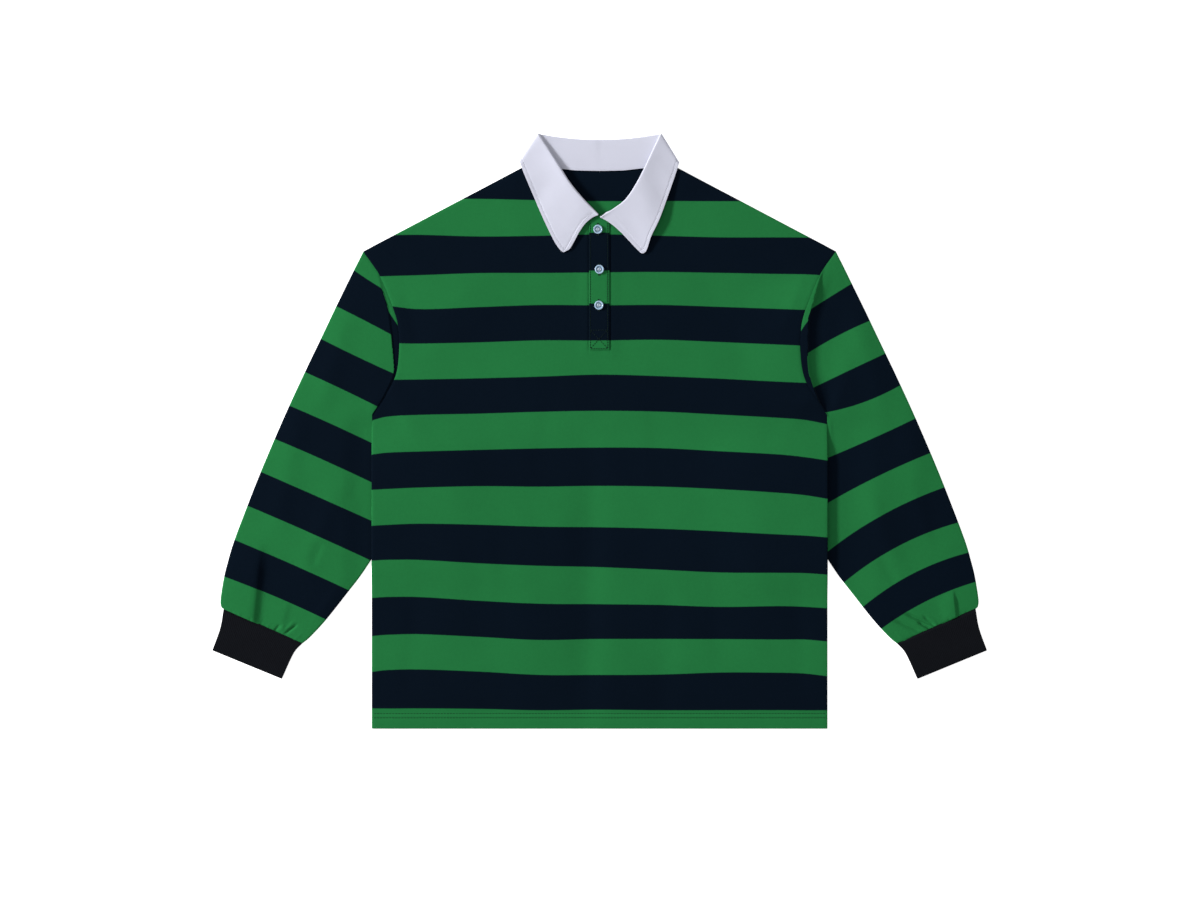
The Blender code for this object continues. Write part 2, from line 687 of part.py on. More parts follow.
def button(number, x, h, material, collection, cutters):
    """A turned button with a raised rim, lying on the placket's top band."""
    z = front_top(x, h) + LIE + TOP_BAND_WALL + LIE
    mesh = bpy.data.meshes.new(f"button_{number}")
    points = [(radius * MM, 0.0, height * MM) for radius, height in BUTTON_PROFILE]
    mesh.from_pydata(points, [(i, i + 1) for i in range(len(points) - 1)], [])
    mesh.materials.append(material)
    made = bpy.data.objects.new(f"button_{number}", mesh)
    made.location = (x * MM, (h - TOP_H / 2) * MM, z * MM)
    collection.objects.link(made)
    turned = made.modifiers.new("turned", "SCREW")
    turned.steps = BUTTON_STEPS
    turned.render_steps = BUTTON_STEPS
    turned.use_merge_vertices = True
    turned.merge_threshold = 0.00001
    turned.use_smooth_shade = True
    holes = made.modifiers.new("holes", "BOOLEAN")
    holes.operation = "DIFFERENCE"
    holes.object = button_cutter(x, h, z, number, cutters)
    return made


# ---------------------------------------------------------------- the shirt


def clear_scene():
    for made in list(bpy.data.objects):
        bpy.data.objects.remove(made)


def new_collection(name):
    made = bpy.data.collections.new(name)
    bpy.context.scene.collection.children.link(made)
    return made


def main():
    clear_scene()
    shirt = new_collection("rugby_shirt")
    cutters = new_collection("cutters")
    paint = {name: principled(name) for name in COLOURS}
    jersey = paint["jersey"]
    panel(
        "back", ARMHOLE_BACK, BACK_INNER, BACK_NECK, BACK_COLUMNS,
        lift, -SEAM / 2, False, jersey, shirt,
    )
    panel(
        "front", ARMHOLE_FRONT, FRONT_INNER, FRONT_NECK, FRONT_COLUMNS,
        front_top, SEAM / 2, True, jersey, shirt,
    )
    under = -WALL - LIE
    over = LIE + TOP_BAND_WALL
    band("placket_under", UNDER_BAND, under, UNDER_BAND_WALL, paint["jersey_dark"], shirt)
    band("placket_top", TOP_BAND, over, TOP_BAND_WALL, jersey, shirt)
    for name, side in (("left", 1), ("right", -1)):
        sleeve(f"sleeve_{name}", side, jersey, shirt)
        cuff(f"cuff_{name}", side, paint["rib"], shirt)
    collar("collar", paint["collar"], shirt)
    for number, (x, h) in enumerate(BUTTONS, 1):
        button(number, x, h, paint["button"], shirt, cutters)


main()
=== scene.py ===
"""The looks of a long-sleeved rugby shirt, lying flat on a pale floor.

Each cloth piece is a thin shell on the form of its CAD solid, with its creases, seams and
stitches. Sizes are in millimetres, and the meshes in metres. A place on the cloth is
(x, h): x out from the centre line, and h up from the edge of the hem. Each vertex keeps its
distance to the nearest stripe edge, above zero in the green; a button's keeps how much of
the painted highlight on its rim it gets.
"""

import math

import bmesh
import bpy
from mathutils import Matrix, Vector
import numpy as np


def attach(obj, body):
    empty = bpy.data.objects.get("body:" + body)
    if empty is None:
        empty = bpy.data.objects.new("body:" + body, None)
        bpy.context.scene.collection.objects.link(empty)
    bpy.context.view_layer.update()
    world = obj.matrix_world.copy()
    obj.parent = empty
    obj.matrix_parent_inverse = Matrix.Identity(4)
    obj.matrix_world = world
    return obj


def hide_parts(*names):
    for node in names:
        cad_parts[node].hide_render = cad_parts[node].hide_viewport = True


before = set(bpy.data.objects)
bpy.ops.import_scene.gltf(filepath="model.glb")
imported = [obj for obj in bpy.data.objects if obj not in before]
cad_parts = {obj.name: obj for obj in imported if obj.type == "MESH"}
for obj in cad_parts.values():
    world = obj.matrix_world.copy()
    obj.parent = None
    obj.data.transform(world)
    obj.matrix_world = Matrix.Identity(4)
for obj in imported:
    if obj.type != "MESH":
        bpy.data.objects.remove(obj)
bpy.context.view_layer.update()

MM = 0.001
UP = np.array((0.0, 0.0, 1.0))

# ---- sizes of the solids

TOP_H = 783
HALF_CHEST = 300.6
WALL = 1.1
LAID = 3.4
FOLD = 1.4
SEAM = -0.3
CORNER_REACH = 14
SEAM_SECTIONS = 2
PANEL_GAP = 0.1
LIE = 0.35  # between one laid piece and the next

ARMHOLE_FRONT = (
    (311.9, 628.9),
    (290.9, 598.0),
    (272.4, 554.0),
    (266.4, 532.0),
    (264.7, 499.0),
    (271.0, 460.0),
    (293.0, 425.0),
    (301.0, 412.0),
)
ARMHOLE_BACK = (
    (311.9, 628.9),
    (295.5, 578.0),
    (287.0, 525.0),
    (284.5, 475.0),
    (291.0, 431.0),
    (301.0, 412.0),
)
SHOULDER = (
    (311.9, 628.9),
    (292.5, 639.4),
    (269.6, 651.4),
    (172.6, 702.6),
    (105.1, 737.9),
    (79.0, 751.0),
)
FRONT_NECK = (
    (2.0, 672.0),
    (28.0, 673.5),
    (52.0, 688.5),
    (69.0, 712.0),
    (78.8, 748.8),
    (79.0, 751.0),
)
BACK_NECK = (
    (0.0, 737.4),
    (32.0, 738.8),
    (60.0, 742.0),
    (77.0, 750.4),
    (79.0, 751.0),
)
ARMHOLE_STEPS = 8
NEAR_CENTRE = 2  # a row that starts this near the centre line starts on a straight one
BOW_FADE = 0.35  # how soon, below the shoulder, the rows lose its bow
FRONT_INNER = ((0, 460), (0, 512), (1.5, 592)) + FRONT_NECK[:4]
BACK_INNER = ((0, 490), (0, 588), (0, 682), (0, 712)) + BACK_NECK[:3]

TUCK_LIFT = {-1: 4.4, 1: 6}
TUCKED = {-1: 2.7, 1: 2.3}
TUCK_SLOPE = 0.5  # how much higher the sleeve on the wearer's left lies against the body's side
SLOPE_FROM = (304, 700)
SLOPE_REACH = (5, 23)  # how wide that slope is, from its top to its foot
SLOPE_DOWN = (300, 390)
FRONT_ACROSS = (60, 285)  # the front rises to its sides over this width
TUCK_ACROSS = (220, 252)
TUCK_ENDS = ((165, 216), (350, 404))
NECK_LIFT = 2.3
NECK_ACROSS = (108, 150)
NECK_BELOW = (690, 724)
HEM_DEPTH = (18, 19.5)
HEM_RISE = 0.5
PLACKET_LIFT = 0.5
PLACKET_ACROSS = (16, 30)
PLACKET_BELOW = (478, 500)

SLEEVE_SECTIONS = (
    (311.9, 628.9, 301.0, 412.0, 5.0, 1.0, 0.0),
    (324.8, 603.1, 300.8, 402.5, 6.0, 0.8, 1.2),
    (347.6, 556.4, 298.2, 388.5, 5.0, 0.5, 1.5),
    (368.6, 512.2, 297.0, 374.0, 3.5, 0.25, 1.5),
    (389.2, 469.3, 285.0, 357.0, 2.6, 0.1, 1.4),
    (409.9, 424.6, 277.0, 331.0, 2.2, 0.02, 1.4),
    (428.8, 381.6, 274.0, 303.0, 2.2, 0.0, 1.4),
    (447.8, 336.6, 278.0, 272.0, 2.2, 0.0, 1.4),
    (465.0, 292.9, 288.3, 242.4, 2.2, 0.0, 1.4),
    (482.4, 246.6, 302.8, 219.9, 2.2, 0.0, 1.4),
    (490.5, 219.0, 316.2, 200.0, 2.2, 0.0, 1.3),
    (495.4, 198.9, 331.7, 180.0, 2.2, 0.0, 1.3),
    (499.8, 171.2, 360.8, 143.2, 2.2, 0.0, 1.1),
    (499.2, 160.9, 381.6, 120.7, 2.2, 0.0, 0.8),
    (496.3, 157.7, 392.6, 111.5, 2.2, 0.0, 0.4),
)
TUCK_EDGE = {-1: (310, 342), 1: (326, 372)}
TUCK_TOP = (390, 420)

CUFF_SECTIONS = (
    (496.1, 157.3, 392.6, 111.6),
    (500.7, 131.8, 403.9, 98.3),
    (511.0, 102.8, 419.2, 65.1),
)
CUFF_WALL = 1.5
CUFF_LAID = 4.2

# The collar, as in the solid: the neck seam x, h; the roll line x, h and height; its
# radius; the way it faces; the cut edge x, h on the wearer's right, then on their left.
# The last two are how far the roll on the wearer's left runs outside and above that line.
COLLAR_WALL = 1.6
COLLAR_ROWS = (
    (0.0, 735.7, 0.0, 775.7, 2.12, 1.25, -90.0, 0.0, 731.0, 0.0, 731.0, 0.0, 0.0),
    (32.0, 736.4, 34.0, 776.9, 2.12, 1.25, -90.0, 37.0, 732.0, 37.0, 732.0, 0.0, 0.0),
    (60.0, 739.6, 64.0, 780.5, 2.15, 1.25, -90.0, 73.0, 736.5, 73.0, 736.5, 0.0, 0.0),
    (77.0, 749.9, 79.0, 783.2, 3.0, 1.25, -45.0, 102.3, 746.0, 101.5, 744.5, 0.0, 0.0),
    (79.0, 751.0, 80.2, 783.6, 4.6, 1.3, 0.0, 105.6, 748.6, 104.2, 745.6, 0.0, 0.0),
    (78.8, 748.8, 78.6, 780.2, 6.3, 1.5, 45.0, 104.0, 743.0, 103.6, 742.3, 0.4, 0.0),
    (75.1, 735.0, 67.0, 762.5, 7.8, 1.8, 85.0, 98.8, 729.2, 99.4, 728.3, 3.6, 0.0),
    (69.0, 712.0, 53.3, 741.0, 9.3, 2.2, 90.0, 87.7, 703.0, 89.8, 701.0, 7.3, 0.0),
    (52.0, 688.5, 38.5, 718.0, 9.6, 2.2, 90.0, 75.0, 673.5, 79.2, 672.0, 10.3, 0.0),
    (28.0, 674.5, 22.0, 698.0, 9.2, 2.0, 90.0, 60.0, 642.5, 67.8, 648.0, 13.4, 0.0),
    (9.0, 679.5, 10.5, 686.0, 8.6, 1.7, 90.0, 50.0, 628.9, 62.0, 630.6, 10.4, 0.0),
    (2.0, 676.5, 1.9, 677.2, 8.0, 1.4, 90.0, 42.9, 627.2, 56.2, 625.0, -1.2, -3.6),
)
NECK_POINT = 4
COLLAR_SIDE = np.array((0.84, 0.545, 0.0))
COLLAR_TURNS = (0.1, 0.9)
SEAM_TURNS = (0, 0.25)
COLLAR_UNDER = 1.1
BACK_SEAM_OUT = -0.8
LEAF_CLEAR = 1.4
LEAF_DROP = 1.6
LEFT_LEAF_RISE = (8.2, 1.5, 4.2)  # the station where that leaf stands up, its width, height
LEAF_SWELL = (62, 690, 16, 34, 0.5)  # its x and h, its width across and up, height
BOW_WAY = np.array((0.76, 0.65, 0.0))
BOW_STATIONS = 1.5  # how far from a leaf's front end it bows outward
END_BOW = {1: 3.4, -1: 5.7}
END_SWELL = {1: 0.5, -1: 0.7}
ROLL_SHARE = {1: 0.7, -1: 1}
TIP_ROUND = {1: 3, -1: 7.5}

TOP_BAND = (-13.9, 13.2, 499)  # left, right and bottom
TOP_BAND_EDGE = (
    (-13.9, 667.0),
    (-11.6, 670.6),
    (-8.0, 673.6),
    (-4.0, 675.9),
    (0.0, 676.4),
    (6.0, 676.6),
    (13.2, 675.0),
)
TOP_BAND_WALL = 1
BAND_SOFT = 0.75  # how round its edges are
UNDER_BAND = (-11, 13, 504)
UNDER_BAND_EDGE = ((-11, 668), (13, 670))
UNDER_BAND_WALL = 0.9
BUTTONS = ((-2.2, 657.9), (-0.3, 605.1), (-0.9, 557.8))

# ---- fine sizes

SHARP_ANGLE = math.radians(55)
CLOTH_EDGE = 0.35  # how round the edge of a wall is, and that of a band's and the collar's
THIN_EDGE = 0.25
THICK_EDGE = 0.55
EDGE_ANGLE = math.radians(60)  # a wall's own edges, softened by a bevel
PANEL_GRID = 3.8
BACK_GRID = 6
RIDGE_ENDS = ((-0.1, 0.3), (0.7, 1.1))  # where along its line a ridge rises and ends
ROUND = (0, 0.02, 0.08, 0.2, 0.4, 0.68, 1)  # places across a rounded edge
SEAM_DIP = 0.4  # how far a sewn edge sinks
SEAM_DIP_WIDTH = 1
# Lines along the hem: h, depth and width. The first two are the twin needle's rows.
HEM_GROOVES = ((13.7, 0.45, 1.1), (19.2, 0.45, 1.1), (22, 0.25, 0.9))
HEM_LOW = -0.6
HEM_ROUND = (0.9, 1.8)  # how deep and how wide the hem's own edge is rounded
GROOVE_STEPS = (-1.3, -0.6, 0, 0.6, 1.3)
HEM_STEPS = (0.1, 0.4, 0.9, 1.6)
NEAR_MIDDLE = (0, 3, 6, 9, 11, 12.2, 13, 13.6, 14.2, 14.8, 15.6, 17, 19.5)
CALM_ACROSS = (28, 44)  # no creases beside the placket
CALM_BELOW = (-515, -470)
BAND_LINE = 0.45  # how deep the line beside the placket is
BAND_LINES = ((-0.4, 0.9), (0.4, 0.8))  # how far outside its edges, and how wide
BAND_FOOT = 0.4
BAND_FOOT_ACROSS = (13, 14.5)
DOME = 0.6  # the lower, the squarer a sleeve's section is
RIPPLE_SHIFT = 700  # so that the sleeves ripple unlike the body
FINE_SECTIONS = (0, 1.2)  # the sections over which a sleeve's creases begin
FOLD_SECTIONS = (1.4, 2.6)  # and those over which the fold by the armhole ends
SLEEVE_STEPS = (112, 40)  # places across its upper face, and its lower one
# Runs of sections: from, to and step, and for a cuff from, to and how many
SLEEVE_RUNS = ((0, 1.4, 0.045), (1.4, 11.0, 0.075), (11.0, 12.0, 0.06), (12.0, 13.0, 0.08))
CUFF_RUNS = ((-0.04, 0.2, 7), (0.3, 1.85, 16), (1.9, 2, 4))
CUFF_RIBS = 44
RIB_HEIGHT = 0.3
RIB_SHARP = 0.7
CUFF_STEPS = (CUFF_RIBS * 5, CUFF_RIBS * 2)
SEAM_DIPS = {-1: 1, 1: 0.4}
CUFF_DIP = 1.2
CUFF_DIP_WIDTH = 1.8
SECTION_STEPS = (26, 11)  # millimetres between a sleeve's first sections, and its last
CUFF_STEP = (25, 30)  # the same for a cuff
CUFF_SEAM_WIDTH = 1.6
CUFF_SEAM = 0.9  # how much a cuff is drawn in at its seam, and at its end
CUFF_END = 0.35
CUFF_UNDER = (0.6, 0.3)  # how much of its ribs, and of being drawn in, its lower face has
COLLAR_STEP = 8.4  # millimetres between the last stations of the collar
FALL_FROM_CUT = (0, 0.7, 1.6, 2.8, 4, 4.6, 5.2, 5.8, 6.4, 7.6, 9.4, 12, 15)
FRONT_END = (15, 12.5, 10.5, 9, 7.6, 6.6, 5.9, 5.2, 4.5, 3.8, 2.8, 1.7, 0.8, 0)
TOPSTITCH_IN = 5.2
TOPSTITCH_GROOVE = (0.4, 0.7)  # its depth and width
STAND_STEPS = 9
STAND_SWELL = 0.5
ARC_STEPS = 13
ARC_END = STAND_STEPS - 1 + ARC_STEPS  # where the fall starts in each station's points
ROLL_MIDDLE = 14
FALL_STEPS = 15
FINE_SHARE = 0.4  # of the fall, at most, where its points are close together
HEM_STITCH_IN = 2.4
BAND_EDGE = 1.6
BAND_STEPS = (22, 110)
BAND_GROOVE = 0.3
PLACKET_STITCH_X = (-12.4, 10.6)
PLACKET_BOX = (-12.4, 10.6, 500.8, 525)
PLACKET_STITCH_TOP = 667
# A turned button's outline, from the middle of its face round to that of its back
BUTTON_PROFILE = (
    (0.0, 1.75),
    (1.6, 1.75),
    (2.5, 1.65),
    (3.0, 1.2),
    (3.5, 1.0),
    (4.0, 1.35),
    (4.5, 2.2),
    (5.1, 2.4),
    (5.6, 2.2),
    (5.9, 1.75),
    (6.0, 1.3),
    (5.8, 0.7),
    (5.2, 0.25),
    (0.0, 0.0),
)
BUTTON_RINGS = 40
BUTTON_SIDES = 64
BUTTON_RIM_HIGHLIGHT = (3.4, 4.8)  # the rim gets a painted highlight, paler outside these radii
HOLE_RADIUS = 0.75
HOLE_OFFSET = 1.35
STITCH_SHARES = np.array((-0.5, -0.32, 0.0, 0.32, 0.5))
STITCH_SWELL = np.array((0.45, 0.95, 1.0, 0.95, 0.45))
STITCH_RISE = np.array((-0.9, 0.25, 0.6, 0.25, -0.9))
STITCH_SIDES = 6
# A stitch's length, the gap to the next one, and the thread's radius
STITCH_SIZES = {
    "stitches_hem": (3.1, 0.9, 0.34),
    "stitches_placket": (2.5, 0.7, 0.38),
    "buttonholes": (1.4, 0.1, 0.26),
    "button_threads": (3.3, 0.05, 0.3),
    "stitches_collar": (2.6, 0.7, 0.26),
}
HOLE_REACH = 8.0  # a buttonhole's half length, its stitches' spacing, place and half length
HOLE_PITCH = 0.55
HOLE_ASIDE = 0.9
HOLE_BAR = 0.75
THREAD_RISE = 1.5  # the threads lie this high over a button's back, and reach past its holes
THREAD_PAST = 0.35
THREAD_ASIDE = 0.22
CUT_STATIONS = (4.6, 10.36)  # the collar's topstitch along its cut edge, and along its end
END_SHARES = (0.08, 0.9)
STITCH_SUNK = 0.15  # how deep a stitch, or a sewn edge, lies in the cloth
# The slight unevenness of any laid cloth: waves across and up, where they start, height
WAVES = (
    (0.021, 0.034, 0.3, 0.10),
    (-0.047, 0.019, 1.7, 0.07),
    (0.071, -0.038, 2.9, 0.06),
    (0.018, 0.093, 4.1, 0.05),
    (-0.112, -0.061, 5.2, 0.035),
    (0.163, 0.085, 0.9, 0.03),
    (0.094, -0.151, 3.6, 0.03),
)

# Folds and creases: x, h to x, h, the width on the left of that line as it runs down the
# picture and on its right, and the height.
FRONT_FOLDS = (
    (-196.0, 40.0, -182.0, 400.0, 34.0, 34.0, 0.9),
    (-92.0, 20.0, -104.0, 350.0, 30.0, 30.0, 0.7),
    (24.0, 10.0, 16.0, 260.0, 26.0, 26.0, 0.6),
    (112.0, 30.0, 96.0, 390.0, 32.0, 32.0, 0.8),
    (214.0, 50.0, 196.0, 420.0, 34.0, 34.0, 1.0),
    (-250.0, 440.0, -150.0, 640.0, 28.0, 28.0, 0.8),
    (244.0, 450.0, 160.0, 640.0, 28.0, 28.0, 0.8),
)
FRONT_CREASES = (
    (-262.0, 585.0, -236.0, 500.0, 7.0, 12.0, -0.5),
    (-288.0, 470.0, -240.0, 380.0, 9.0, 14.0, 0.5),
    (270.0, 600.0, 240.0, 520.0, 9.0, 7.0, 0.5),
    (286.0, 452.0, 236.0, 372.0, 14.0, 9.0, 0.45),
    (-60.0, 470.0, -86.0, 330.0, 10.0, 18.0, -0.35),
    (52.0, 440.0, 70.0, 300.0, 16.0, 9.0, 0.35),
    (-12.0, 400.0, -20.0, -20.0, 24.0, 20.0, -1.8),
    (92.0, 210.0, 80.0, -20.0, 18.0, 18.0, -0.8),
    (146.0, 250.0, 158.0, 60.0, 12.0, 20.0, -0.4),
    (-148.0, 300.0, -140.0, 120.0, 14.0, 10.0, 0.4),
    (-242.0, 180.0, -256.0, 30.0, 10.0, 16.0, -0.5),
    (262.0, 210.0, 268.0, 40.0, 14.0, 10.0, -0.5),
)
SLEEVE_FOLDS = (
    (-330.0, 560.0, -372.0, 400.0, 15.0, 15.0, 1.0),
    (-392.0, 430.0, -430.0, 250.0, 17.0, 17.0, 1.2),
    (-340.0, 330.0, -395.0, 190.0, 15.0, 15.0, 1.0),
    (334.0, 560.0, 380.0, 390.0, 15.0, 15.0, 1.1),
    (402.0, 420.0, 436.0, 240.0, 17.0, 17.0, 1.1),
    (344.0, 330.0, 400.0, 200.0, 15.0, 15.0, 1.0),
)
SLEEVE_CREASES = (
    # On the wearer's right
    (-455.5, 240.0, -467.5, 116.0, 90.0, 13.0, 1.2),
    (-447.0, 240.0, -459.4, 116.0, 90.0, 6.4, 3.0),
    (-442.5, 240.0, -454.7, 116.0, 4.0, 60.0, -1.2),
    (-411.5, 170.0, -421.5, 132.0, 30.0, 5.5, 0.9),
    (-422.0, 136.5, -429.5, 127.0, 1.7, 1.3, -1.2),
    (-416.0, 137.0, -421.0, 128.0, 2.4, 3.0, 0.6),
    (-399.0, 136.5, -416.0, 124.0, 1.6, 1.6, -1.9),
    (-402.0, 141.0, -416.0, 129.0, 1.6, 3.0, 0.6),
    (-366.0, 246.0, -380.0, 212.0, 9.0, 5.0, -0.8),
    (-316.0, 330.0, -324.0, 300.0, 8.0, 6.0, -0.7),
    (-340.0, 190.0, -378.0, 140.0, 8.0, 8.0, 0.6),
    # On the wearer's left
    (465.8, 181.0, 470.8, 136.0, 14.0, 1.7, 2.4),
    (400.5, 152.8, 441.0, 135.4, 2.2, 2.4, -3.0),
    (386.0, 144.7, 428.0, 125.8, 3.4, 2.6, -2.3),
    (419.5, 140.2, 438.0, 130.0, 1.8, 1.8, -2.6),
    (426.5, 148.0, 442.5, 134.6, 1.8, 1.8, -1.8),
    (452.0, 172.0, 462.0, 140.0, 7.0, 7.0, 0.4),
    (368.0, 230.0, 392.0, 186.0, 7.0, 9.0, -0.6),
    (420.0, 330.0, 448.0, 236.0, 8.0, 14.0, -0.6),
)
PUCKER_WIDTH = 0.014
PUCKER_FADE = (0.2, 1)
# Small puckers along each cuff's seam: share across from the outer fold, reach up, height
PUCKERS = (
    (0.13, 6.0, -0.35),
    (0.21, 8.0, 0.3),
    (0.34, 6.0, -0.4),
    (0.47, 7.0, -0.4),
    (0.55, 6.0, 0.3),
    (0.66, 7.0, -0.4),
    (0.78, 6.0, -0.35),
    (0.9, 7.0, 0.3),
)

# The fold that the top of each sleeve makes beside its armhole: x and h of its edge, from
# the top down, and how high it stands.
CREASE_LINES = {
    -1: (
        (291.5, 594.0),
        (287.8, 580.0),
        (279.3, 549.3),
        (275.6, 520.9),
        (273.0, 495.0),
        (271.9, 468.6),
        (281.5, 446.0),
        (293.0, 425.0),
        (301.5, 412.0),
    ),
    1: (
        (299.0, 614.0),
        (291.6, 598.0),
        (278.8, 553.1),
        (275.1, 537.2),
        (274.0, 505.0),
        (274.2, 485.0),
        (275.9, 468.6),
        (281.6, 449.2),
        (290.8, 426.4),
        (303.0, 409.0),
    ),
}
CREASE_RISE = {-1: 1.1, 1: 4.8}
CREASE_ENDS = ((404, 436), (568, 612))
SEAM_RISE = 4.9  # how much the front and the fold rise together beside the seam
SEAM_RISE_WIDTH = 90
SEAM_RISE_FROM = 400
HOLLOW = -2.3  # beyond the fold on the wearer's left
HOLLOW_FIRST = 2.2  # how much of its depth comes only further out
HOLLOW_DROP = (0, 2.8)
HOLLOW_DEEPER = (2, 20)
HOLLOW_FADE = (24, 110)
FOLD_DROP = 2  # how soon the fold on the wearer's right falls to its strip
FOLD_BEYOND = 16
STRIP_IN = 0.4  # the strip between fold and seam starts this far inside the fold
STRIP_CORNER = (300, 405)  # it lies inside this x and above this h
ALL_GREEN = 4
# The green point above that edge, from its tip down: x and h of its lower edge
GREEN_POINTS = {
    -1: ((294, 596), (288.7, 580.4), (283.4, 567.6), (278.1, 548.7), (266, 530.8)),
    1: ((290, 590), (279.2, 553.1), (276.3, 539.1), (271, 532), (264.5, 522.5)),
}

# ---- stripes

# Heights of the stripe edges at each of these places across the body, from the top down
STRIPE_X = (-300, -281, -238, -158, -79, 0, 79, 158, 238, 271, 300)
STRIPE_H = (
    (695.6, 696.6, 698.0, 698.4, 696.6, 695.6, 695.6, 695.3, 695.6, 695.6, 695.6),
    (650.8, 650.2, 650.6, 648.4, 649.3, 651.2, 649.4, 647.3, 647.2, 647.0, 646.4),
    (596.0, 596.5, 597.8, 600.5, 600.7, 601.4, 602.0, 600.8, 599.3, 598.8, 597.2),
    (558.4, 557.2, 552.6, 555.3, 558.0, 557.6, 558.1, 555.6, 552.6, 551.4, 550.4),
    (508.2, 508.2, 507.6, 509.2, 511.8, 511.6, 512.6, 509.6, 506.0, 504.5, 503.6),
    (459.4, 459.4, 459.8, 461.4, 463.6, 466.2, 464.2, 460.9, 456.7, 455.3, 454.2),
    (406.2, 411.1, 413.5, 415.2, 417.6, 418.9, 417.8, 413.9, 409.5, 406.8, 401.3),
    (360.8, 363.2, 364.8, 367.0, 368.9, 370.0, 369.3, 365.2, 360.8, 357.3, 353.0),
    (314.8, 315.8, 317.7, 319.5, 318.9, 319.9, 318.9, 315.6, 310.7, 307.6, 302.9),
    (266.9, 268.1, 269.7, 268.3, 265.7, 264.9, 263.0, 259.6, 255.5, 254.0, 251.7),
    (221.4, 222.5, 222.4, 217.8, 214.5, 212.7, 209.4, 205.8, 205.4, 205.0, 203.0),
    (171.7, 173.0, 172.9, 167.9, 164.1, 163.4, 162.5, 159.9, 160.9, 159.9, 158.1),
    (121.8, 123.4, 124.3, 120.7, 116.7, 117.9, 118.0, 117.8, 117.3, 117.2, 114.8),
    (74.2, 76.5, 77.4, 74.5, 70.2, 70.1, 70.6, 73.3, 73.1, 71.9, 68.5),
    (26.4, 26.2, 26.4, 25.7, 23.9, 24.7, 23.9, 24.0, 24.1, 23.9, 24.0),
)
# Each sleeve's stripe edges: outer x, h, inner x, h, and how far the line bows upward
SLEEVE_STRIPES = {
    -1: (
        (323.4, 603.4, 287.7, 580.1, -0.4),
        (346.4, 556.4, 276.0, 520.1, 0.4),
        (367.0, 513.1, 273.3, 468.4, -0.7),
        (387.8, 469.7, 293.8, 425.0, 0.6),
        (408.5, 425.0, 301.7, 376.6, 0.8),
        (427.6, 381.5, 301.4, 324.8, 1.0),
        (446.2, 337.7, 301.3, 273.6, 0.4),
        (463.6, 293.4, 305.1, 223.0, 1.0),
        (479.7, 247.6, 334.1, 183.4, 1.0),
        (492.4, 199.7, 361.5, 144.0, 1.7),
    ),
    1: (
        (332.2, 586.0, 279.8, 553.3, 0.2),
        (354.4, 536.9, 275.6, 495.6, 1.9),
        (375.8, 493.6, 282.5, 449.3, 0.2),
        (394.8, 451.7, 302.2, 417.5, -4.0),
        (415.7, 408.0, 302.2, 357.0, -0.9),
        (435.9, 363.2, 302.2, 298.0, 2.8),
        (454.2, 317.4, 302.3, 233.9, 7.2),
        (471.6, 271.2, 323.7, 193.5, 9.0),
        (485.4, 231.3, 348.9, 161.1, 8.6),
        (494.7, 193.0, 373.0, 132.5, 6.0),
    ),
}
PLACKET_SHIFT = 2.3  # how much higher the placket's stripes are than the front's,
PLACKET_SHIFT_FROM = (516, 540)  # growing between these heights
SLEEVE_TILT = {-1: math.radians(-24), 1: math.radians(27)}
CUFF_TILT = math.radians(24)

# ---- colours and light

GREEN = (0.0131, 0.143, 0.0383, 1.0)
NAVY = (0.0011, 0.0041, 0.0094, 1.0)
WHITE_COTTON = (0.515, 0.522, 0.61)
RIB_BLACK = (0.0046, 0.0052, 0.0072)
# Painted shade: the green thread is much darker than the cloth, partly its own colour and partly
# the shade in the stitch grooves.
THREAD_GREEN_SHADED = (0.0018, 0.0095, 0.0070)
THREAD_WHITE = (0.60, 0.61, 0.68)
BUTTON_PEARL = (0.245, 0.345, 0.455)

PHOTO_WIDTH = 1.584
PHOTO_CENTRE = (0.0005, -0.0245)
CAMERA_HEIGHT = 4.0
SENSOR = 36.0
CLIP_END = 50.0
WORLD_STRENGTH = 0.565
KEY_ELEVATION = 24.5
KEY_TURN = 166.0  # round from +X, so from the left and a little above
KEY_DISTANCE = 7.0
KEY_SIZE = (2.4, 0.84)
KEY_AIM = (-0.04, 0.12, 0.0)
KEY_POWER = 36.5
KEY_SPREAD = 35.0  # the light is strongest in its middle
FLOOR_GLOW = 0.7
FLOOR_REACH = 6.0
FLOOR_Z = -0.0002
FLOOR_WHITE = (0.95, 0.95, 0.95)
WHITE_LIGHT = (1.0, 1.0, 1.0, 1.0)
TWILL_LINES = 0.9  # millimetres from one slanting line to the next
TWILL_YARN = 0.45


# ---- numbers


def smooth(low, high, value):
    """0 below low and 1 above high, with an S curve between them."""
    share = np.clip((value - low) / (high - low), 0.0, 1.0)
    return share * share * (3 - 2 * share)


def window(ends, value):
    """1 between two S curves, the first upward and the second downward."""
    return smooth(*ends[0], value) * (1 - smooth(*ends[1], value))


def lerp(a, b, share):
    return a + (b - a) * share


def spline(marks, rows, at):
    """A smooth curve through rows of numbers, read at any places between their marks."""
    marks = np.asarray(marks, float)
    rows = np.asarray(rows, float)
    order = np.arange(len(marks))
    low = np.maximum(order - 1, 0)
    high = np.minimum(order + 1, len(marks) - 1)
    slopes = (rows[high] - rows[low]) / (marks[high] - marks[low])[:, None]
    at = np.asarray(at, float)
    i = np.clip(np.searchsorted(marks, at, side="right") - 1, 0, len(marks) - 2)
    span = marks[i + 1] - marks[i]
    t = (at - marks[i]) / span
    rise = (t * t * (3 - 2 * t))[..., None]
    start = (span * t * (1 - t) ** 2)[..., None]
    end = (span * t * t * (1 - t))[..., None]
    return rows[i] * (1 - rise) + rows[i + 1] * rise + slopes[i] * start - slopes[i + 1] * end


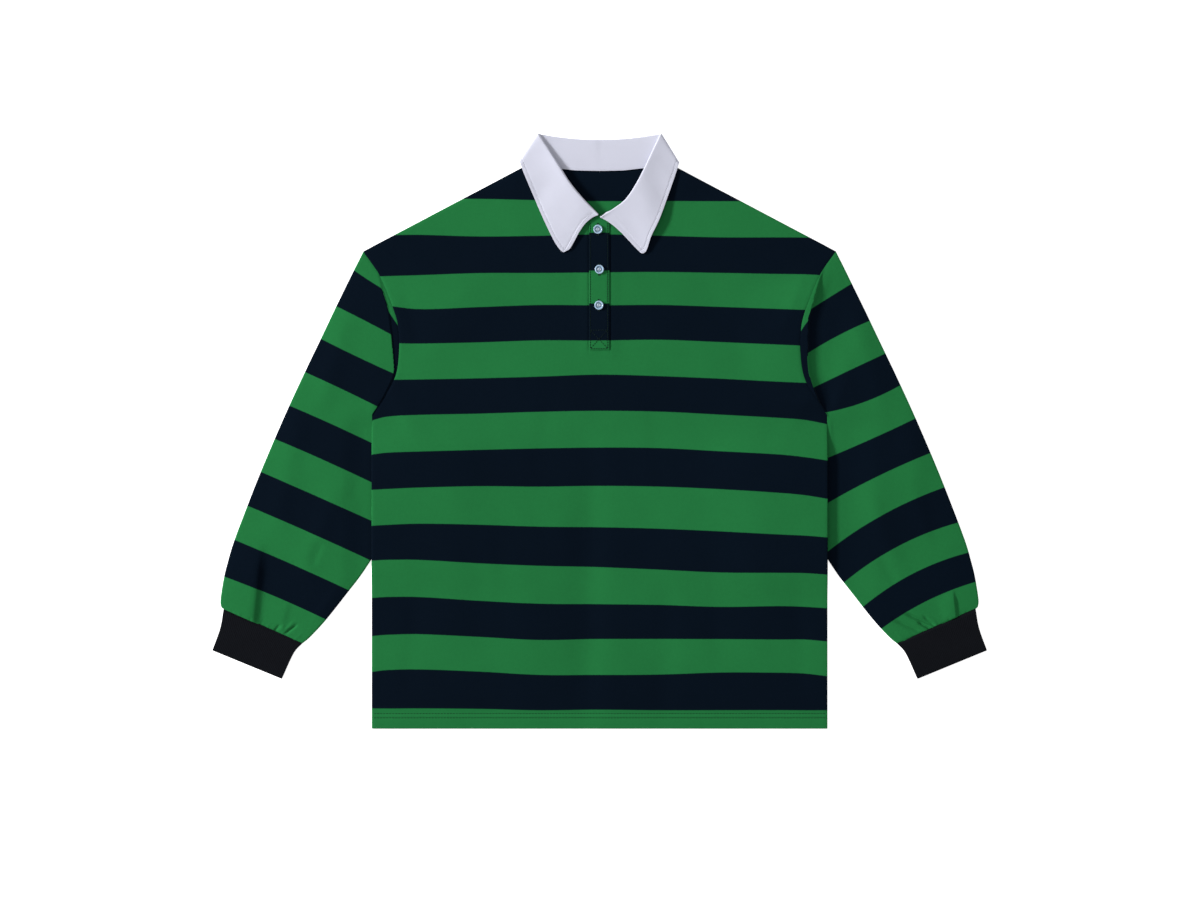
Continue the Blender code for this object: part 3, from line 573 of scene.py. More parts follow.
class Line:
    """A smooth line through points, read by the distance along it."""

    def __init__(self, points):
        self.points = np.asarray(points, float)
        steps = np.linalg.norm(np.diff(self.points, axis=0), axis=1)
        self.marks = np.concatenate(([0.0], np.cumsum(steps)))
        self.length = self.marks[-1]

    def at(self, distance):
        return spline(self.marks, self.points, distance)

    def outward(self, distance):
        """Square to the line, away from the body."""
        ahead = self.at(np.minimum(distance + 1, self.length))
        step = ahead - self.at(np.maximum(distance - 1, 0))
        turned = np.stack((-step[..., 1], step[..., 0]), axis=-1)
        return unit(turned)


def unit(vectors):
    return vectors / np.maximum(np.linalg.norm(vectors, axis=-1, keepdims=True), 1e-9)


def rows_at(table, index):
    """The rows of an evenly spaced table at places between its rows."""
    return spline(np.arange(len(table)), table, index)


def circle(away):
    """The height of a rounded edge, by how far in from it, both as shares."""
    return np.sqrt(np.clip(1 - (1 - np.asarray(away, float)) ** 2, 0, 1))


def ridges(x, h, folds):
    """The sum of the ridges and troughs at each place."""
    total = np.zeros(np.broadcast(x, h).shape)
    for x0, h0, x1, h1, left, right, height in folds:
        run_x = x1 - x0
        run_h = h1 - h0
        size = run_x * run_x + run_h * run_h
        along = ((x - x0) * run_x + (h - h0) * run_h) / size
        near = np.clip(along, 0.0, 1.0)
        away = np.hypot(x - x0 - run_x * near, h - h0 - run_h * near)
        on_left = run_x * (h - h0) - run_h * (x - x0) < 0
        width = np.where(on_left, left, right)
        total += height * window(RIDGE_ENDS, along) * groove(away, width)
    return total


def groove(distance, width):
    """A soft trough, 1 in its middle."""
    return np.exp(-((distance / width) ** 2))


def ripple(x, h):
    return sum(size * np.sin(kx * x + kh * h + turn) for kx, kh, turn, size in WAVES)


# ---- how the cloth lies


def lift(x, h, across=TUCK_ACROSS):
    """How high the sleeves under the body's sides, and the collar's stand, lift a panel."""
    side = smooth(*across, np.abs(x)) * window(TUCK_ENDS, h)
    neck = (1 - smooth(*NECK_ACROSS, np.abs(x))) * smooth(*NECK_BELOW, h)
    return np.where(np.asarray(x) > 0, TUCK_LIFT[1], TUCK_LIFT[-1]) * side + NECK_LIFT * neck


def front_base(x, h):
    """The height of the front's outer face in the solid, away from its folded edges."""
    band = (1 - smooth(*PLACKET_ACROSS, np.abs(x))) * smooth(*PLACKET_BELOW, h)
    hem = 1 - smooth(*HEM_DEPTH, h)
    folds = ridges(x, h, FRONT_FOLDS)
    return lift(x, h, FRONT_ACROSS) + LAID + PLACKET_LIFT * band + HEM_RISE * hem + folds


def front_face(x, h):
    """That height with the fine creases, the hem's rows and the line round the placket."""
    calm = np.clip(smooth(*CALM_ACROSS, np.abs(x)) + smooth(*CALM_BELOW, -h), 0.0, 1.0)
    z = front_base(x, h) + (ridges(x, h, FRONT_CREASES) + ripple(x, h)) * calm
    beside_seam = smooth(-SEAM_RISE_WIDTH, 0.0, x - seam_x(h))
    z += SEAM_RISE * beside_seam * window(CREASE_ENDS, h) * (h > SEAM_RISE_FROM)
    for row, depth, width in HEM_GROOVES:
        z -= depth * groove(h - row, width)
    *sides, bottom = TOP_BAND
    lines = sum(groove(x - edge - out, width) for edge, (out, width) in zip(sides, BAND_LINES))
    z -= BAND_LINE * smooth(bottom - 1.5, bottom, h) * lines
    foot = (1 - smooth(*BAND_FOOT_ACROSS, np.abs(x))) * groove(h - bottom + 0.6, 1.0)
    depth, width = HEM_ROUND
    return z - BAND_FOOT * foot - depth * (1 - circle(np.clip((h - HEM_LOW) / width, 0, 1)))


def nearest_edge(away, green_when):
    """The smallest of the distances to stripe edges, below zero outside the green."""
    above = (away < 0).sum(-1)
    return np.where(above % 2 == green_when, 1.0, -1.0) * np.abs(away).min(-1)


def body_green(x, h, shift=0.0):
    """Distance to the nearest stripe edge of the body, above zero in the green."""
    flat_x = np.clip(x, STRIPE_X[0], STRIPE_X[-1])
    edges = spline(STRIPE_X, np.array(STRIPE_H).T, flat_x) + shift
    return nearest_edge(h[..., None] - edges, 1)


def sleeve_green(side, x, h):
    """The same for a sleeve, whose stripes run straight across it, or bow a little."""
    distances = []
    for x0, h0, x1, h1, bow in SLEEVE_STRIPES[side]:
        run_x = x1 - x0
        run_h = h1 - h0
        length = math.hypot(run_x, run_h)
        along = ((x - x0) * run_x + (h - h0) * run_h) / length / length
        rise = 4 * bow * along * (1 - along)
        distances.append(((x - x0) * run_h - (h - h0) * run_x) / length - rise)
    return nearest_edge(np.stack(distances, axis=-1), 0)


def seam_x(h):
    """How far out the armhole's seam is at each height."""
    armhole = np.array(ARMHOLE_FRONT)[::-1]
    return np.interp(h, armhole[:, 1], armhole[:, 0])


def crease_place(side, x, h):
    """How far inside the sleeve's fold a place lies, and how far apart fold and seam are."""
    line = np.array(CREASE_LINES[side])[::-1]
    edge = spline(line[:, 1], line[:, :1], np.clip(h, line[0, 1], line[-1, 1]))[..., 0]
    return edge - x, np.maximum(edge - seam_x(h), 0.5)


def crease_height(side, x, h):
    """The sleeve's fold by the armhole. On the wearer's right it stands over its strip,
    and on their left the strip rises to it and the sleeve drops away beyond."""
    inside, strip = crease_place(side, x, h)
    high = CREASE_RISE[side]
    if side < 0:
        over_strip = 1 - smooth(0.0, FOLD_DROP, inside)
        beyond = np.exp(-np.maximum(-inside, 0.0) / FOLD_BEYOND)
        profile = high * np.where(inside > 0, over_strip, beyond)
    else:
        up_strip = lerp(SEAM_RISE, high, smooth(0.0, 1.0, 1 - inside / strip))
        drop = lerp(high, HOLLOW + HOLLOW_FIRST, smooth(*HOLLOW_DROP, -inside))
        drop = drop - HOLLOW_FIRST * smooth(*HOLLOW_DEEPER, -inside)
        beyond = drop * (1 - smooth(*HOLLOW_FADE, -inside))
        profile = np.where(inside > 0, up_strip, beyond)
    return profile * window(CREASE_ENDS, h)


# ---- meshes


def new_object(name, data):
    """An object in the scene."""
    made = bpy.data.objects.new(name, data)
    bpy.context.scene.collection.objects.link(made)
    return made


def new_mesh(name, points, faces):
    """A mesh from (x, h, z) points in millimetres."""
    mesh = bpy.data.meshes.new(name)
    placed = (np.asarray(points, float) - (0.0, TOP_H / 2, 0.0)) * MM
    mesh.from_pydata(placed.tolist(), [], faces)
    return mesh


def mesh_object(name, points, faces, material, green=None, uv=None):
    """A piece of cloth, or a button, with what its material reads."""
    mesh = new_mesh(name, points, np.asarray(faces).tolist())
    if green is not None:
        layer = mesh.attributes.new("green", "FLOAT", "POINT")
        layer.data.foreach_set("value", np.asarray(green, np.float32))
    corners = np.empty(len(mesh.loops), np.int32)
    mesh.loops.foreach_get("vertex_index", corners)
    cloth = (points[:, :2] if uv is None else uv) * MM
    made_uv = mesh.uv_layers.new(name="cloth")
    made_uv.data.foreach_set("uv", cloth[corners].astype(np.float32).ravel())
    cleaned = bmesh.new()
    cleaned.from_mesh(mesh)
    bmesh.ops.remove_doubles(cleaned, verts=cleaned.verts, dist=1e-6)
    cleaned.to_mesh(mesh)
    cleaned.free()
    mesh.shade_smooth()
    mesh.set_sharp_from_angle(angle=SHARP_ANGLE)
    mesh.materials.append(material)
    return new_object(name, mesh)


def grid_faces(rows, columns, start=0, flip=False, ring=False, close=False):
    """The quads between neighbouring rows of points. A ring also joins its ends."""
    row = np.arange(rows if close else rows - 1)[:, None]
    column = np.arange(columns if ring else columns - 1)[None, :]
    right = (column + 1) % columns
    up = (row + 1) % rows
    quads = (
        start + row * columns + column,
        start + row * columns + right,
        start + up * columns + right,
        start + up * columns + column,
    )
    faces = np.stack(quads, axis=-1).reshape(-1, 4)
    return faces[:, ::-1] if flip else faces


def thicken(made, wall, offset=-1.0, rounded=CLOTH_EDGE):
    """Gives an open surface its wall, and softens the edge of the cloth."""
    solid = made.modifiers.new("wall", "SOLIDIFY")
    solid.thickness = wall * MM
    solid.offset = offset
    bevel = made.modifiers.new("edge", "BEVEL")
    bevel.width = rounded * MM
    bevel.segments = 2
    bevel.limit_method = "ANGLE"
    bevel.angle_limit = EDGE_ANGLE


def turned_uv(points, angle):
    """The cloth's own directions, turned from the picture of it lying flat."""
    x = points[..., 0]
    h = points[..., 1]
    along = x * math.cos(angle) - h * math.sin(angle)
    up = x * math.sin(angle) + h * math.cos(angle)
    return np.stack((along, up), axis=-1)


def dress(piece, node=None):
    """Hangs a piece under the root body, and hides the node of the frame that it replaces; stitches
    replace no node.
    """
    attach(piece, "root")
    if node:
        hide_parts(node)
    return piece


# ---- front and back panels


def shoulder_bow(share):
    """How far the shoulder line runs outside a straight one, from the neck to the tip."""
    line = Line(SHOULDER)
    straight = lerp(line.points[-1], line.points[0], share[..., None])
    return line.at(line.length * (1 - share)) - straight


def panel_rows(armhole, inner, neck, grid, extra):
    """A half panel's rows: inner point, edge point, whether the side there is folded, the
    share of the panel's height, and the share of the shoulder's bow."""
    line = Line(armhole)
    underarm = line.points[-1, 1]
    corner = SLEEVE_SECTIONS[0][4]
    heights = np.unique(np.concatenate(([HEM_LOW], np.arange(0, underarm - grid / 2, grid), extra)))
    rows = [((0.0, h), (HALF_CHEST, h), 1.0, 1.0, 0.0) for h in heights]
    for away in ROUND:
        start = (0.0, underarm + away * corner)
        edge = line.at(line.length - away * corner)
        rows.append((start, edge, 1.0 - float(circle(away)), 1.0, 0.0))
    span = (line.length - FOLD - corner) / ARMHOLE_STEPS
    neck_way = unit(np.array(neck[-1]) - np.array(neck[-2]))
    neck_end = np.array(neck[-1]) - neck_way * FOLD
    starts = np.array([(0.0, underarm + corner), *inner, neck_end])
    count = int((line.length - corner) / grid)
    straight = sum(1 for x, _ in inner if x <= NEAR_CENTRE) + 1
    for t in np.linspace(0, ARMHOLE_STEPS, count)[1:-1]:
        if t <= straight - 1:
            i = min(int(t), straight - 2)
            start = lerp(starts[i], starts[i + 1], t - i)
        else:
            start = rows_at(starts[straight - 1 :], t - straight + 1)
        edge = line.at(line.length - corner - span * t)
        rows.append((start, edge, 0.0, 1.0, max(0.0, 1 - BOW_FADE * (ARMHOLE_STEPS - t))))
    for away in reversed(ROUND):
        start = np.array(neck[-1]) - neck_way * (away * FOLD)
        rows.append((start, line.at(away * FOLD), 0.0, float(circle(away)), 1.0))
    return rows


def panel_half(side, facing, rows, grid, near):
    """The points of one half, on the outer face of the cloth."""
    starts = np.array([row[0] for row in rows], float)
    edges = np.array([row[1] for row in rows], float)
    folded, height, bow = (np.array([row[k] for row in rows])[:, None] for k in (2, 3, 4))
    run = edges - starts
    length = np.linalg.norm(run, axis=1)[:, None]
    count = int((HALF_CHEST - near[-1]) / grid)
    shares = np.linspace(0, 1, count)[1:-1]
    inner = near + 0 * length
    middle = lerp(near[-1], length - FOLD, shares)
    away = np.array(ROUND)[::-1]
    distance = np.concatenate((inner, middle, length - FOLD * away), axis=1)
    rise = np.ones_like(distance)
    rise[:, -len(away) :] = lerp(1.0, circle(away), folded)
    share = distance / length
    place = starts[:, None, :] + run[:, None, :] * share[..., None]
    place = place + shoulder_bow(share) * bow[..., None]
    x = place[..., 0] * side
    h = place[..., 1]
    sunk = SEAM_DIP * (1 - folded) * groove(length - distance, SEAM_DIP_WIDTH)
    centre = lift(x, h) + LAID / 2 + facing * PANEL_GAP / 2
    top = (front_face if facing > 0 else lift)(x, h) - facing * sunk
    return np.stack((x, h, lerp(centre, top, height * rise)), axis=-1)


def panel(name, facing, edges, grid, near, extra, material):
    """The front, facing up, or the back, from its two halves joined along the centre line."""
    rows = panel_rows(*edges, grid, extra)
    points = []
    faces = []
    for side in (1, -1):
        half = panel_half(side, facing, rows, grid, near)
        start = sum(len(part) for part in points)
        faces.append(grid_faces(*half.shape[:2], start, flip=side != facing))
        points.append(half.reshape(-1, 3))
    points = np.concatenate(points)
    green = body_green(points[:, 0], points[:, 1])
    made = mesh_object(name, points, np.concatenate(faces), material, green)
    thicken(made, WALL)
    return made


# ---- sleeves and cuffs


def across_places(width, inner_fold, steps):
    """Places across a flattened tube, from its outer fold to its inner one: how far in,
    and the share of the height there."""
    away = np.array(ROUND)
    outer = FOLD * away + 0 * width
    middle = lerp(FOLD, width - inner_fold, np.linspace(0, 1, steps)[1:-1])
    inner = width - inner_fold * away[::-1]
    rise = circle(away)
    heights = np.concatenate((rise, np.ones(steps - 2), rise[::-1]))
    return np.concatenate((outer, middle, inner), axis=1), heights


def sleeve_top(side, x, h, puff, section, distance, width, height_up):
    """The height of a sleeve's upper face, with its creases and the fold at its top."""
    dome = np.clip(4 * distance / width * (1 - distance / width), 0, 1) ** DOME
    real_x = x * side
    top = LAID + puff * dome + ridges(real_x, h, SLEEVE_FOLDS)
    fine = ridges(real_x, h, SLEEVE_CREASES) + ripple(real_x + RIPPLE_SHIFT, h)
    top = top + fine * smooth(*FINE_SECTIONS, section)
    for share, reach, height in PUCKERS:
        fade = 1 - smooth(*PUCKER_FADE, height_up / reach)
        top = top + height * (groove(distance / width - share, PUCKER_WIDTH) * fade)
    top = top + crease_height(side, x, h) * (1 - smooth(*FOLD_SECTIONS, section))
    tuck = (1 - smooth(*TUCK_EDGE[side], x)) * (1 - smooth(*TUCK_TOP, h))
    level = TUCKED[side] + np.zeros_like(x)
    if side > 0:
        reach = lerp(*SLOPE_REACH, smooth(*SLOPE_DOWN, SLOPE_FROM[1] - h))
        level += TUCK_SLOPE * (1 - smooth(0.0, 1.0, (x - SLOPE_FROM[0]) / reach))
    return lerp(top, level, tuck)


def sleeve_layer(side, sections, steps, is_top, inset):
    """The outer or inner skin of a sleeve's upper or lower face."""
    lines = (Line(ARMHOLE_FRONT), Line(ARMHOLE_BACK))
    rows = rows_at(SLEEVE_SECTIONS, sections)
    outer = rows[:, None, 0:2]
    inner = rows[:, None, 2:4]
    inner_fold, share, puff = (rows[:, k : k + 1] for k in (4, 5, 6))
    section = sections[:, None]
    line = lines[0] if is_top else lines[1]
    chord = np.linalg.norm(inner - outer, axis=-1)
    width = lerp(chord, line.length, share)
    from_edge, rise = across_places(width, inner_fold, steps)
    distance = lerp(inset, width - inset, from_edge / width)
    across = distance / width
    place = outer + (inner - outer) * across[..., None]
    straight = lerp(line.points[0], line.points[-1], across[..., None])
    bow = line.at(line.length * across) - straight
    place = place + bow * (np.maximum(share, 0) ** (1 + 3 * across))[..., None]
    corner = 1 - smooth(0.0, CORNER_REACH, np.minimum(from_edge, width - from_edge))
    nearest = np.round(across)
    ends = sum(each.outward(nearest * each.length) for each in lines)
    away = lerp(line.outward(line.length * across), unit(ends), corner[..., None])
    gap = SEAM * np.clip(1 - section / SEAM_SECTIONS, 0, 1)
    place = place + unit(away) * gap[..., None]
    x = place[..., 0]
    h = place[..., 1]
    end_x, end_h = SLEEVE_SECTIONS[-1][:2]
    height_up = np.hypot(rows[:, 0:1] - end_x, rows[:, 1:2] - end_h) + 0 * x
    top = sleeve_top(side, x, h, puff, section, distance, width, height_up)
    from_end = np.abs(section - (len(SLEEVE_SECTIONS) - 1)) * SECTION_STEPS[1]
    armhole = SEAM_DIPS[side] * groove(section * SECTION_STEPS[0], SEAM_DIP_WIDTH)
    top = top - SEAM_DIP * (armhole + CUFF_DIP * groove(from_end, CUFF_DIP_WIDTH))
    full = top - inset if is_top else inset + 0 * top
    z = lerp(top / 2, full, rise)
    return np.stack((x * side, h, z), axis=-1)


def tube(name, side, layer, marks, steps, wall, material, tilt, green=None):
    """A tube with a wall: sections along its outside, and back along its inside."""
    skins = []
    for inset in (0.0, wall):
        upper = layer(side, marks, steps[0], True, inset)
        lower = layer(side, marks, steps[1], False, inset)
        skins.append(np.concatenate((upper, lower[:, -2:0:-1]), axis=1))
    rings = np.concatenate((skins[0], skins[1][::-1]))
    faces = grid_faces(*rings.shape[:2], flip=side < 0, ring=True, close=True)
    points = rings.reshape(-1, 3)
    tint = green and green(side, points[:, 0] * side, points[:, 1])
    return mesh_object(name, points, faces, material, tint, turned_uv(points, -tilt))


def sleeve_marks():
    """The sections of a sleeve, close together beside the armhole and the cuff."""
    end = np.linspace(SLEEVE_RUNS[-1][1], len(SLEEVE_SECTIONS) - 1, 11)
    return np.concatenate([np.arange(*run) for run in SLEEVE_RUNS] + [end])


def sleeve_tint(side, x, h):
    """The sleeve's stripes, but a strip of its own inside the fold by the armhole."""
    inside, _ = crease_place(side, x, h)
    low = np.array(GREEN_POINTS[side])[::-1]
    strip = (h - np.interp(x, low[:, 0], low[:, 1])) / 2
    strip = np.where(h > low[-1, 1], ALL_GREEN, strip)
    in_strip = (inside > STRIP_IN) & (x < STRIP_CORNER[0]) & (h > STRIP_CORNER[1])
    return np.where(in_strip, strip, sleeve_green(side, x, h))


def sleeve(name, side, material):
    tilt = SLEEVE_TILT[side]
    return tube(
        name, side, sleeve_layer, sleeve_marks(), SLEEVE_STEPS, WALL, material, tilt, sleeve_tint
    )


def cuff_layer(side, marks, steps, is_top, inset):
    """The same for a cuff, whose outer skin is ribbed and drawn in at both ends."""
    rows = rows_at(CUFF_SECTIONS, marks)
    outer = rows[:, None, 0:2]
    inner = rows[:, None, 2:4]
    run = unit(inner - outer)
    width = np.linalg.norm(inner - outer, axis=-1)
    from_edge, rise = across_places(width, FOLD, steps)
    share = from_edge / width
    place = outer + run * lerp(inset, width - inset, share)[..., None]
    full = CUFF_LAID - inset if is_top else inset
    if not inset:
        rib = 0.5 - 0.5 * np.cos(share * 2 * math.pi * CUFF_RIBS)
        seam = groove(marks[:, None] * CUFF_STEP[0], CUFF_SEAM_WIDTH)
        end = groove((marks[:, None] - 2) * CUFF_STEP[1], CUFF_SEAM_WIDTH)
        relief = RIB_HEIGHT * rib**RIB_SHARP * rise * (1 - seam)
        shrink = CUFF_SEAM * seam + CUFF_END * end
        flatter = relief * CUFF_UNDER[0] - shrink * CUFF_UNDER[1]
        full = CUFF_LAID + relief - shrink if is_top else -flatter
    z = lerp(CUFF_LAID / 2, np.maximum(full, 0.0), rise)
    return np.stack((place[..., 0] * side, place[..., 1], z + 0 * share), axis=-1)


def cuff(name, side, material):
    marks = np.concatenate([np.linspace(*run) for run in CUFF_RUNS])
    tilt = CUFF_TILT * side
    return tube(name, side, cuff_layer, marks, CUFF_STEPS, CUFF_WALL, material, tilt)


# ---- collar


def neck_normals():
    """Square to the neck seam at each row, into the neck hole."""
    places = np.array([row[:2] for row in COLLAR_ROWS])
    steps = unit(np.diff(places, axis=0))
    turned = np.stack((-steps[:, 1], steps[:, 0]), axis=-1)
    turned[NECK_POINT:] *= -1
    turned[0, 0] = 0.0
    return unit(np.concatenate((turned[:1], turned[:-1] + turned[1:], turned[-1:])))


def collar_lines(side, index):
    """For each station: the start at the neck seam, the arc over the roll, and the end at
    the cut edge, with what shapes the fall between them."""
    index = np.asarray(index, float)
    rows = rows_at(COLLAR_ROWS, index)
    roll = rows[:, 2:5].copy()
    if side > 0:
        roll[:, :2] += rows[:, 11:13]
    radius = rows[:, 5:6] * ROLL_SHARE[side]
    turn = np.radians(np.clip(rows[:, 6], -90, 90))[:, None]
    cut = rows[:, 9:11] if side > 0 else rows[:, 7:9]
    over = (1 + np.sin(turn)) / 2
    low = np.clip(index.astype(int), 0, len(COLLAR_ROWS) - 2)
    part = (index - low)[:, None]
    table = np.array(COLLAR_ROWS)
    seam = lerp(table[low, :2], table[low + 1, :2], part)
    if side > 0:
        seam[:, 1:] += lerp(table[low, 12:13], table[low + 1, 12:13], part)
    normals = neck_normals()
    normal = unit(lerp(normals[low], normals[low + 1], part))
    seam_x = seam[:, :1] * side
    front_level = front_base(seam_x, seam[:, 1:2]) - WALL / 2
    on_back = lift(seam_x, seam[:, 1:2]) + WALL + COLLAR_WALL / 2 + STITCH_SUNK
    level = lerp(on_back, front_level, over)
    seam = seam + normal * lerp(BACK_SEAM_OUT, COLLAR_WALL / 2, smooth(*SEAM_TURNS, over))
    on_top = smooth(*COLLAR_TURNS, over)
    cut_front = front_base(cut[:, :1] * side, cut[:, 1:2]) + LEAF_CLEAR
    cut_z = lerp(COLLAR_UNDER, cut_front, on_top)
    if side > 0:
        station, width, high = LEFT_LEAF_RISE
        cut_z = cut_z + high * groove(index[:, None] - station, width)
    start = np.concatenate((seam, level), axis=1)
    end = np.concatenate((cut, cut_z), axis=1)
    facing = COLLAR_SIDE * np.cos(turn) + UP * np.sin(turn)
    back = unit(unit(start - roll) + unit(end - roll))
    middle = roll + back * radius
    last = len(COLLAR_ROWS) - 1
    at_end = smooth(last - BOW_STATIONS, last, index)[:, None]
    bow = np.concatenate((END_BOW[side] * at_end, END_SWELL[side] * at_end), axis=1)
    return start, middle, facing, back, radius, end, over, bow


def fall_points(lines, share):
    """Points down the fall, from the roll at 0 to the cut edge at 1."""
    _, middle, facing, _, radius, end, over, bow = lines
    top = middle + facing * radius
    share = np.asarray(share, float)[..., None]
    place = lerp(top[:, None], end[:, None], share)
    drop = lerp(end[:, None, 2:], top[:, None, 2:], (1 - share) ** LEAF_DROP)
    place[..., 2:] = lerp(place[..., 2:], drop, over[:, None])
    curve = 27 / 4 * share * (1 - share) ** 2
    swell = np.sin(share * math.pi)
    return place + BOW_WAY * curve * bow[:, None, :1] + UP * swell * bow[:, None, 1:]


def collar_grid(side, index):
    """The grid of one half of the collar, from the neck seam over the roll to the cut."""
    lines = collar_lines(side, index)
    start, middle, facing, back, radius, end, over, _ = lines
    angles = np.radians(np.linspace(-90, 90, ARC_STEPS))[None, :, None]
    turned = facing[:, None] * np.sin(angles) - back[:, None] * np.cos(angles)
    arc = middle[:, None] + turned * radius[:, None]
    shares = np.linspace(0, 1, STAND_STEPS)[None, :-1, None]
    stand = lerp(start[:, None], arc[:, :1], shares)
    stand[..., 2] += STAND_SWELL * np.sin(shares[..., 0] * math.pi) * (1 - over)
    fall_length = np.linalg.norm(end - arc[:, -1], axis=1)[:, None]
    from_cut = np.array(FALL_FROM_CUT)[::-1]
    reach = np.minimum(from_cut[0], fall_length * FINE_SHARE)
    fine = 1 - from_cut / from_cut[0] * reach / fall_length
    coarse = np.linspace(0, 1, FALL_STEPS)[1:-1] * (1 - reach / fall_length)
    share = np.concatenate((coarse, fine), axis=1)
    fall = fall_points(lines, share)
    on_top = smooth(*COLLAR_TURNS, over)
    depth, width = TOPSTITCH_GROOVE
    fall[..., 2] -= depth * on_top * groove((1 - share) * fall_length - TOPSTITCH_IN, width)
    return np.concatenate((stand, arc, fall), axis=1)


def leaf_waves(grid):
    """The slight swell of each leaf, and the topstitch's groove along its front edge."""
    edge = grid[-1:, :, :2]
    from_front = np.linalg.norm(grid[:, :, :2] - edge, axis=-1)
    depth, width = TOPSTITCH_GROOVE
    x, h, wide, tall, high = LEAF_SWELL
    grid[:, ARC_END:, 2] -= (depth * groove(from_front - TOPSTITCH_IN, width))[:, ARC_END:]
    swell = groove(grid[..., 0] - x, wide) * groove(grid[..., 1] - h, tall)
    grid[:, ARC_END:, 2] += (high * swell)[:, ARC_END:]
    return grid


def round_tip(grid, radius):
    """Rounds the corner of a leaf, where its front edge meets its cut edge."""
    to_front = grid[-1:, :, :2] - grid[:, :, :2]
    to_cut = grid[:, -1:, :2] - grid[:, :, :2]
    from_front = np.linalg.norm(to_front, axis=-1)
    from_cut = np.linalg.norm(to_cut, axis=-1)
    inside = (from_front < radius) & (from_cut < radius)
    inside[:, :ARC_END] = False
    inside[: len(grid) // 2] = False
    way = radius - np.stack((from_front, from_cut), axis=-1)
    square = np.max(way, axis=-1) / np.maximum(np.linalg.norm(way, axis=-1), 1e-6)
    step = way * (1 - square)[..., None]
    inward_a = -unit(grid[-1:, :, :2] - grid[-12:-11, :, :2])
    inward_b = -unit(grid[:, -1:, :2] - grid[:, -8:-7, :2])
    moved = inward_a * step[..., :1] + inward_b * step[..., 1:]
    grid[..., :2] += np.where(inside[..., None], moved, 0.0)
    return grid


def collar_index():
    """The stations of half the collar, close together at its front end."""
    last = len(COLLAR_ROWS) - 1
    near = last - np.array(FRONT_END) / COLLAR_STEP
    return np.concatenate((np.arange(0, 3, 0.1), np.arange(3, near[0] - 0.04, 0.075), near))


def collar(name, material):
    """The collar in one piece, from the front end on the wearer's right to that on the left."""
    halves = []
    for side in (-1, 1):
        grid = round_tip(leaf_waves(collar_grid(side, collar_index())), TIP_ROUND[side])
        grid[..., 0] *= side
        halves.append(grid)
    grid = np.concatenate((halves[0][:0:-1], halves[1]))
    middle = np.linalg.norm(np.diff(grid[:, ROLL_MIDDLE], axis=0), axis=1)
    along = np.concatenate(([0.0], np.cumsum(middle)))[:, None]
    down = np.linalg.norm(np.diff(grid, axis=1), axis=2)
    down = np.concatenate((np.zeros((len(grid), 1)), np.cumsum(down, axis=1)), axis=1)
    uv = np.stack((along + 0 * down, down), axis=-1).reshape(-1, 2)
    made = mesh_object(name, grid.reshape(-1, 3), grid_faces(*grid.shape[:2]), material, uv=uv)
    thicken(made, COLLAR_WALL, offset=0.0, rounded=THICK_EDGE)
    return made


# ---- placket and buttons


def band_top(x, h):
    """The height of the top band's outer face."""
    return front_base(x, h) + LIE + TOP_BAND_WALL


def rounded_marks(length, edge, count):
    """Places along a length, close together at its rounded ends."""
    ends = np.array(ROUND) * edge
    return np.unique(np.concatenate((ends, length - ends, np.linspace(edge, length - edge, count))))


def band(name, sides, upper_edge, below, wall, material, soft):
    """A placket band on the front's own heights, its outer face up, with soft edges."""
    left, right, bottom = sides
    line = np.array(upper_edge)
    across = rounded_marks(right - left, BAND_EDGE, BAND_STEPS[0])
    height = line[:, 1].max() - bottom
    along = rounded_marks(height, BAND_EDGE, BAND_STEPS[1])
    x = left + across + 0.0 * along[:, None]
    top = spline(line[:, 0], line[:, 1:], x)[..., 0]
    h = lerp(bottom, top, (along / height)[:, None])
    from_side = np.minimum(across, right - left - across)
    from_end = np.minimum(along, height - along)[:, None]
    edge = np.minimum(from_side, from_end)
    sunk = soft * (1 - circle(np.clip(edge / BAND_EDGE, 0, 1)))
    z = front_base(x, h) + below - sunk
    for row in PLACKET_STITCH_X:
        z -= BAND_GROOVE * soft * groove(x - row, TOPSTITCH_GROOVE[1])
    points = np.stack((x, h, z), axis=-1).reshape(-1, 3)
    shift = PLACKET_SHIFT * smooth(*PLACKET_SHIFT_FROM, points[:, 1:2])
    green = body_green(points[:, 0], points[:, 1], shift)
    made = mesh_object(name, points, grid_faces(len(along), len(across)), material, green)
    thicken(made, wall, rounded=THIN_EDGE)
    return made


def button_back(x, h):
    """The height at which a button starts."""
    return float(band_top(np.array(x), np.array(h))) + LIE


def drills(x, h, z):
    """Four posts where a button's holes go."""
    posts = bmesh.new()
    reach = HOLE_OFFSET * math.sqrt(2)
    radius = HOLE_RADIUS * MM
    for quarter in range(4):
        angle = math.radians(45 + 90 * quarter)
        post = bmesh.ops.create_cone(
            posts, cap_ends=True, segments=20, radius1=radius, radius2=radius, depth=8 * MM
        )
        centre = (
            (x + reach * math.cos(angle)) * MM,
            (h + reach * math.sin(angle) - TOP_H / 2) * MM,
            (z + 1.0) * MM,
        )
        bmesh.ops.translate(posts, verts=post["verts"], vec=centre)
    mesh = bpy.data.meshes.new("drills")
    posts.to_mesh(mesh)
    posts.free()
    return new_object("drills", mesh)


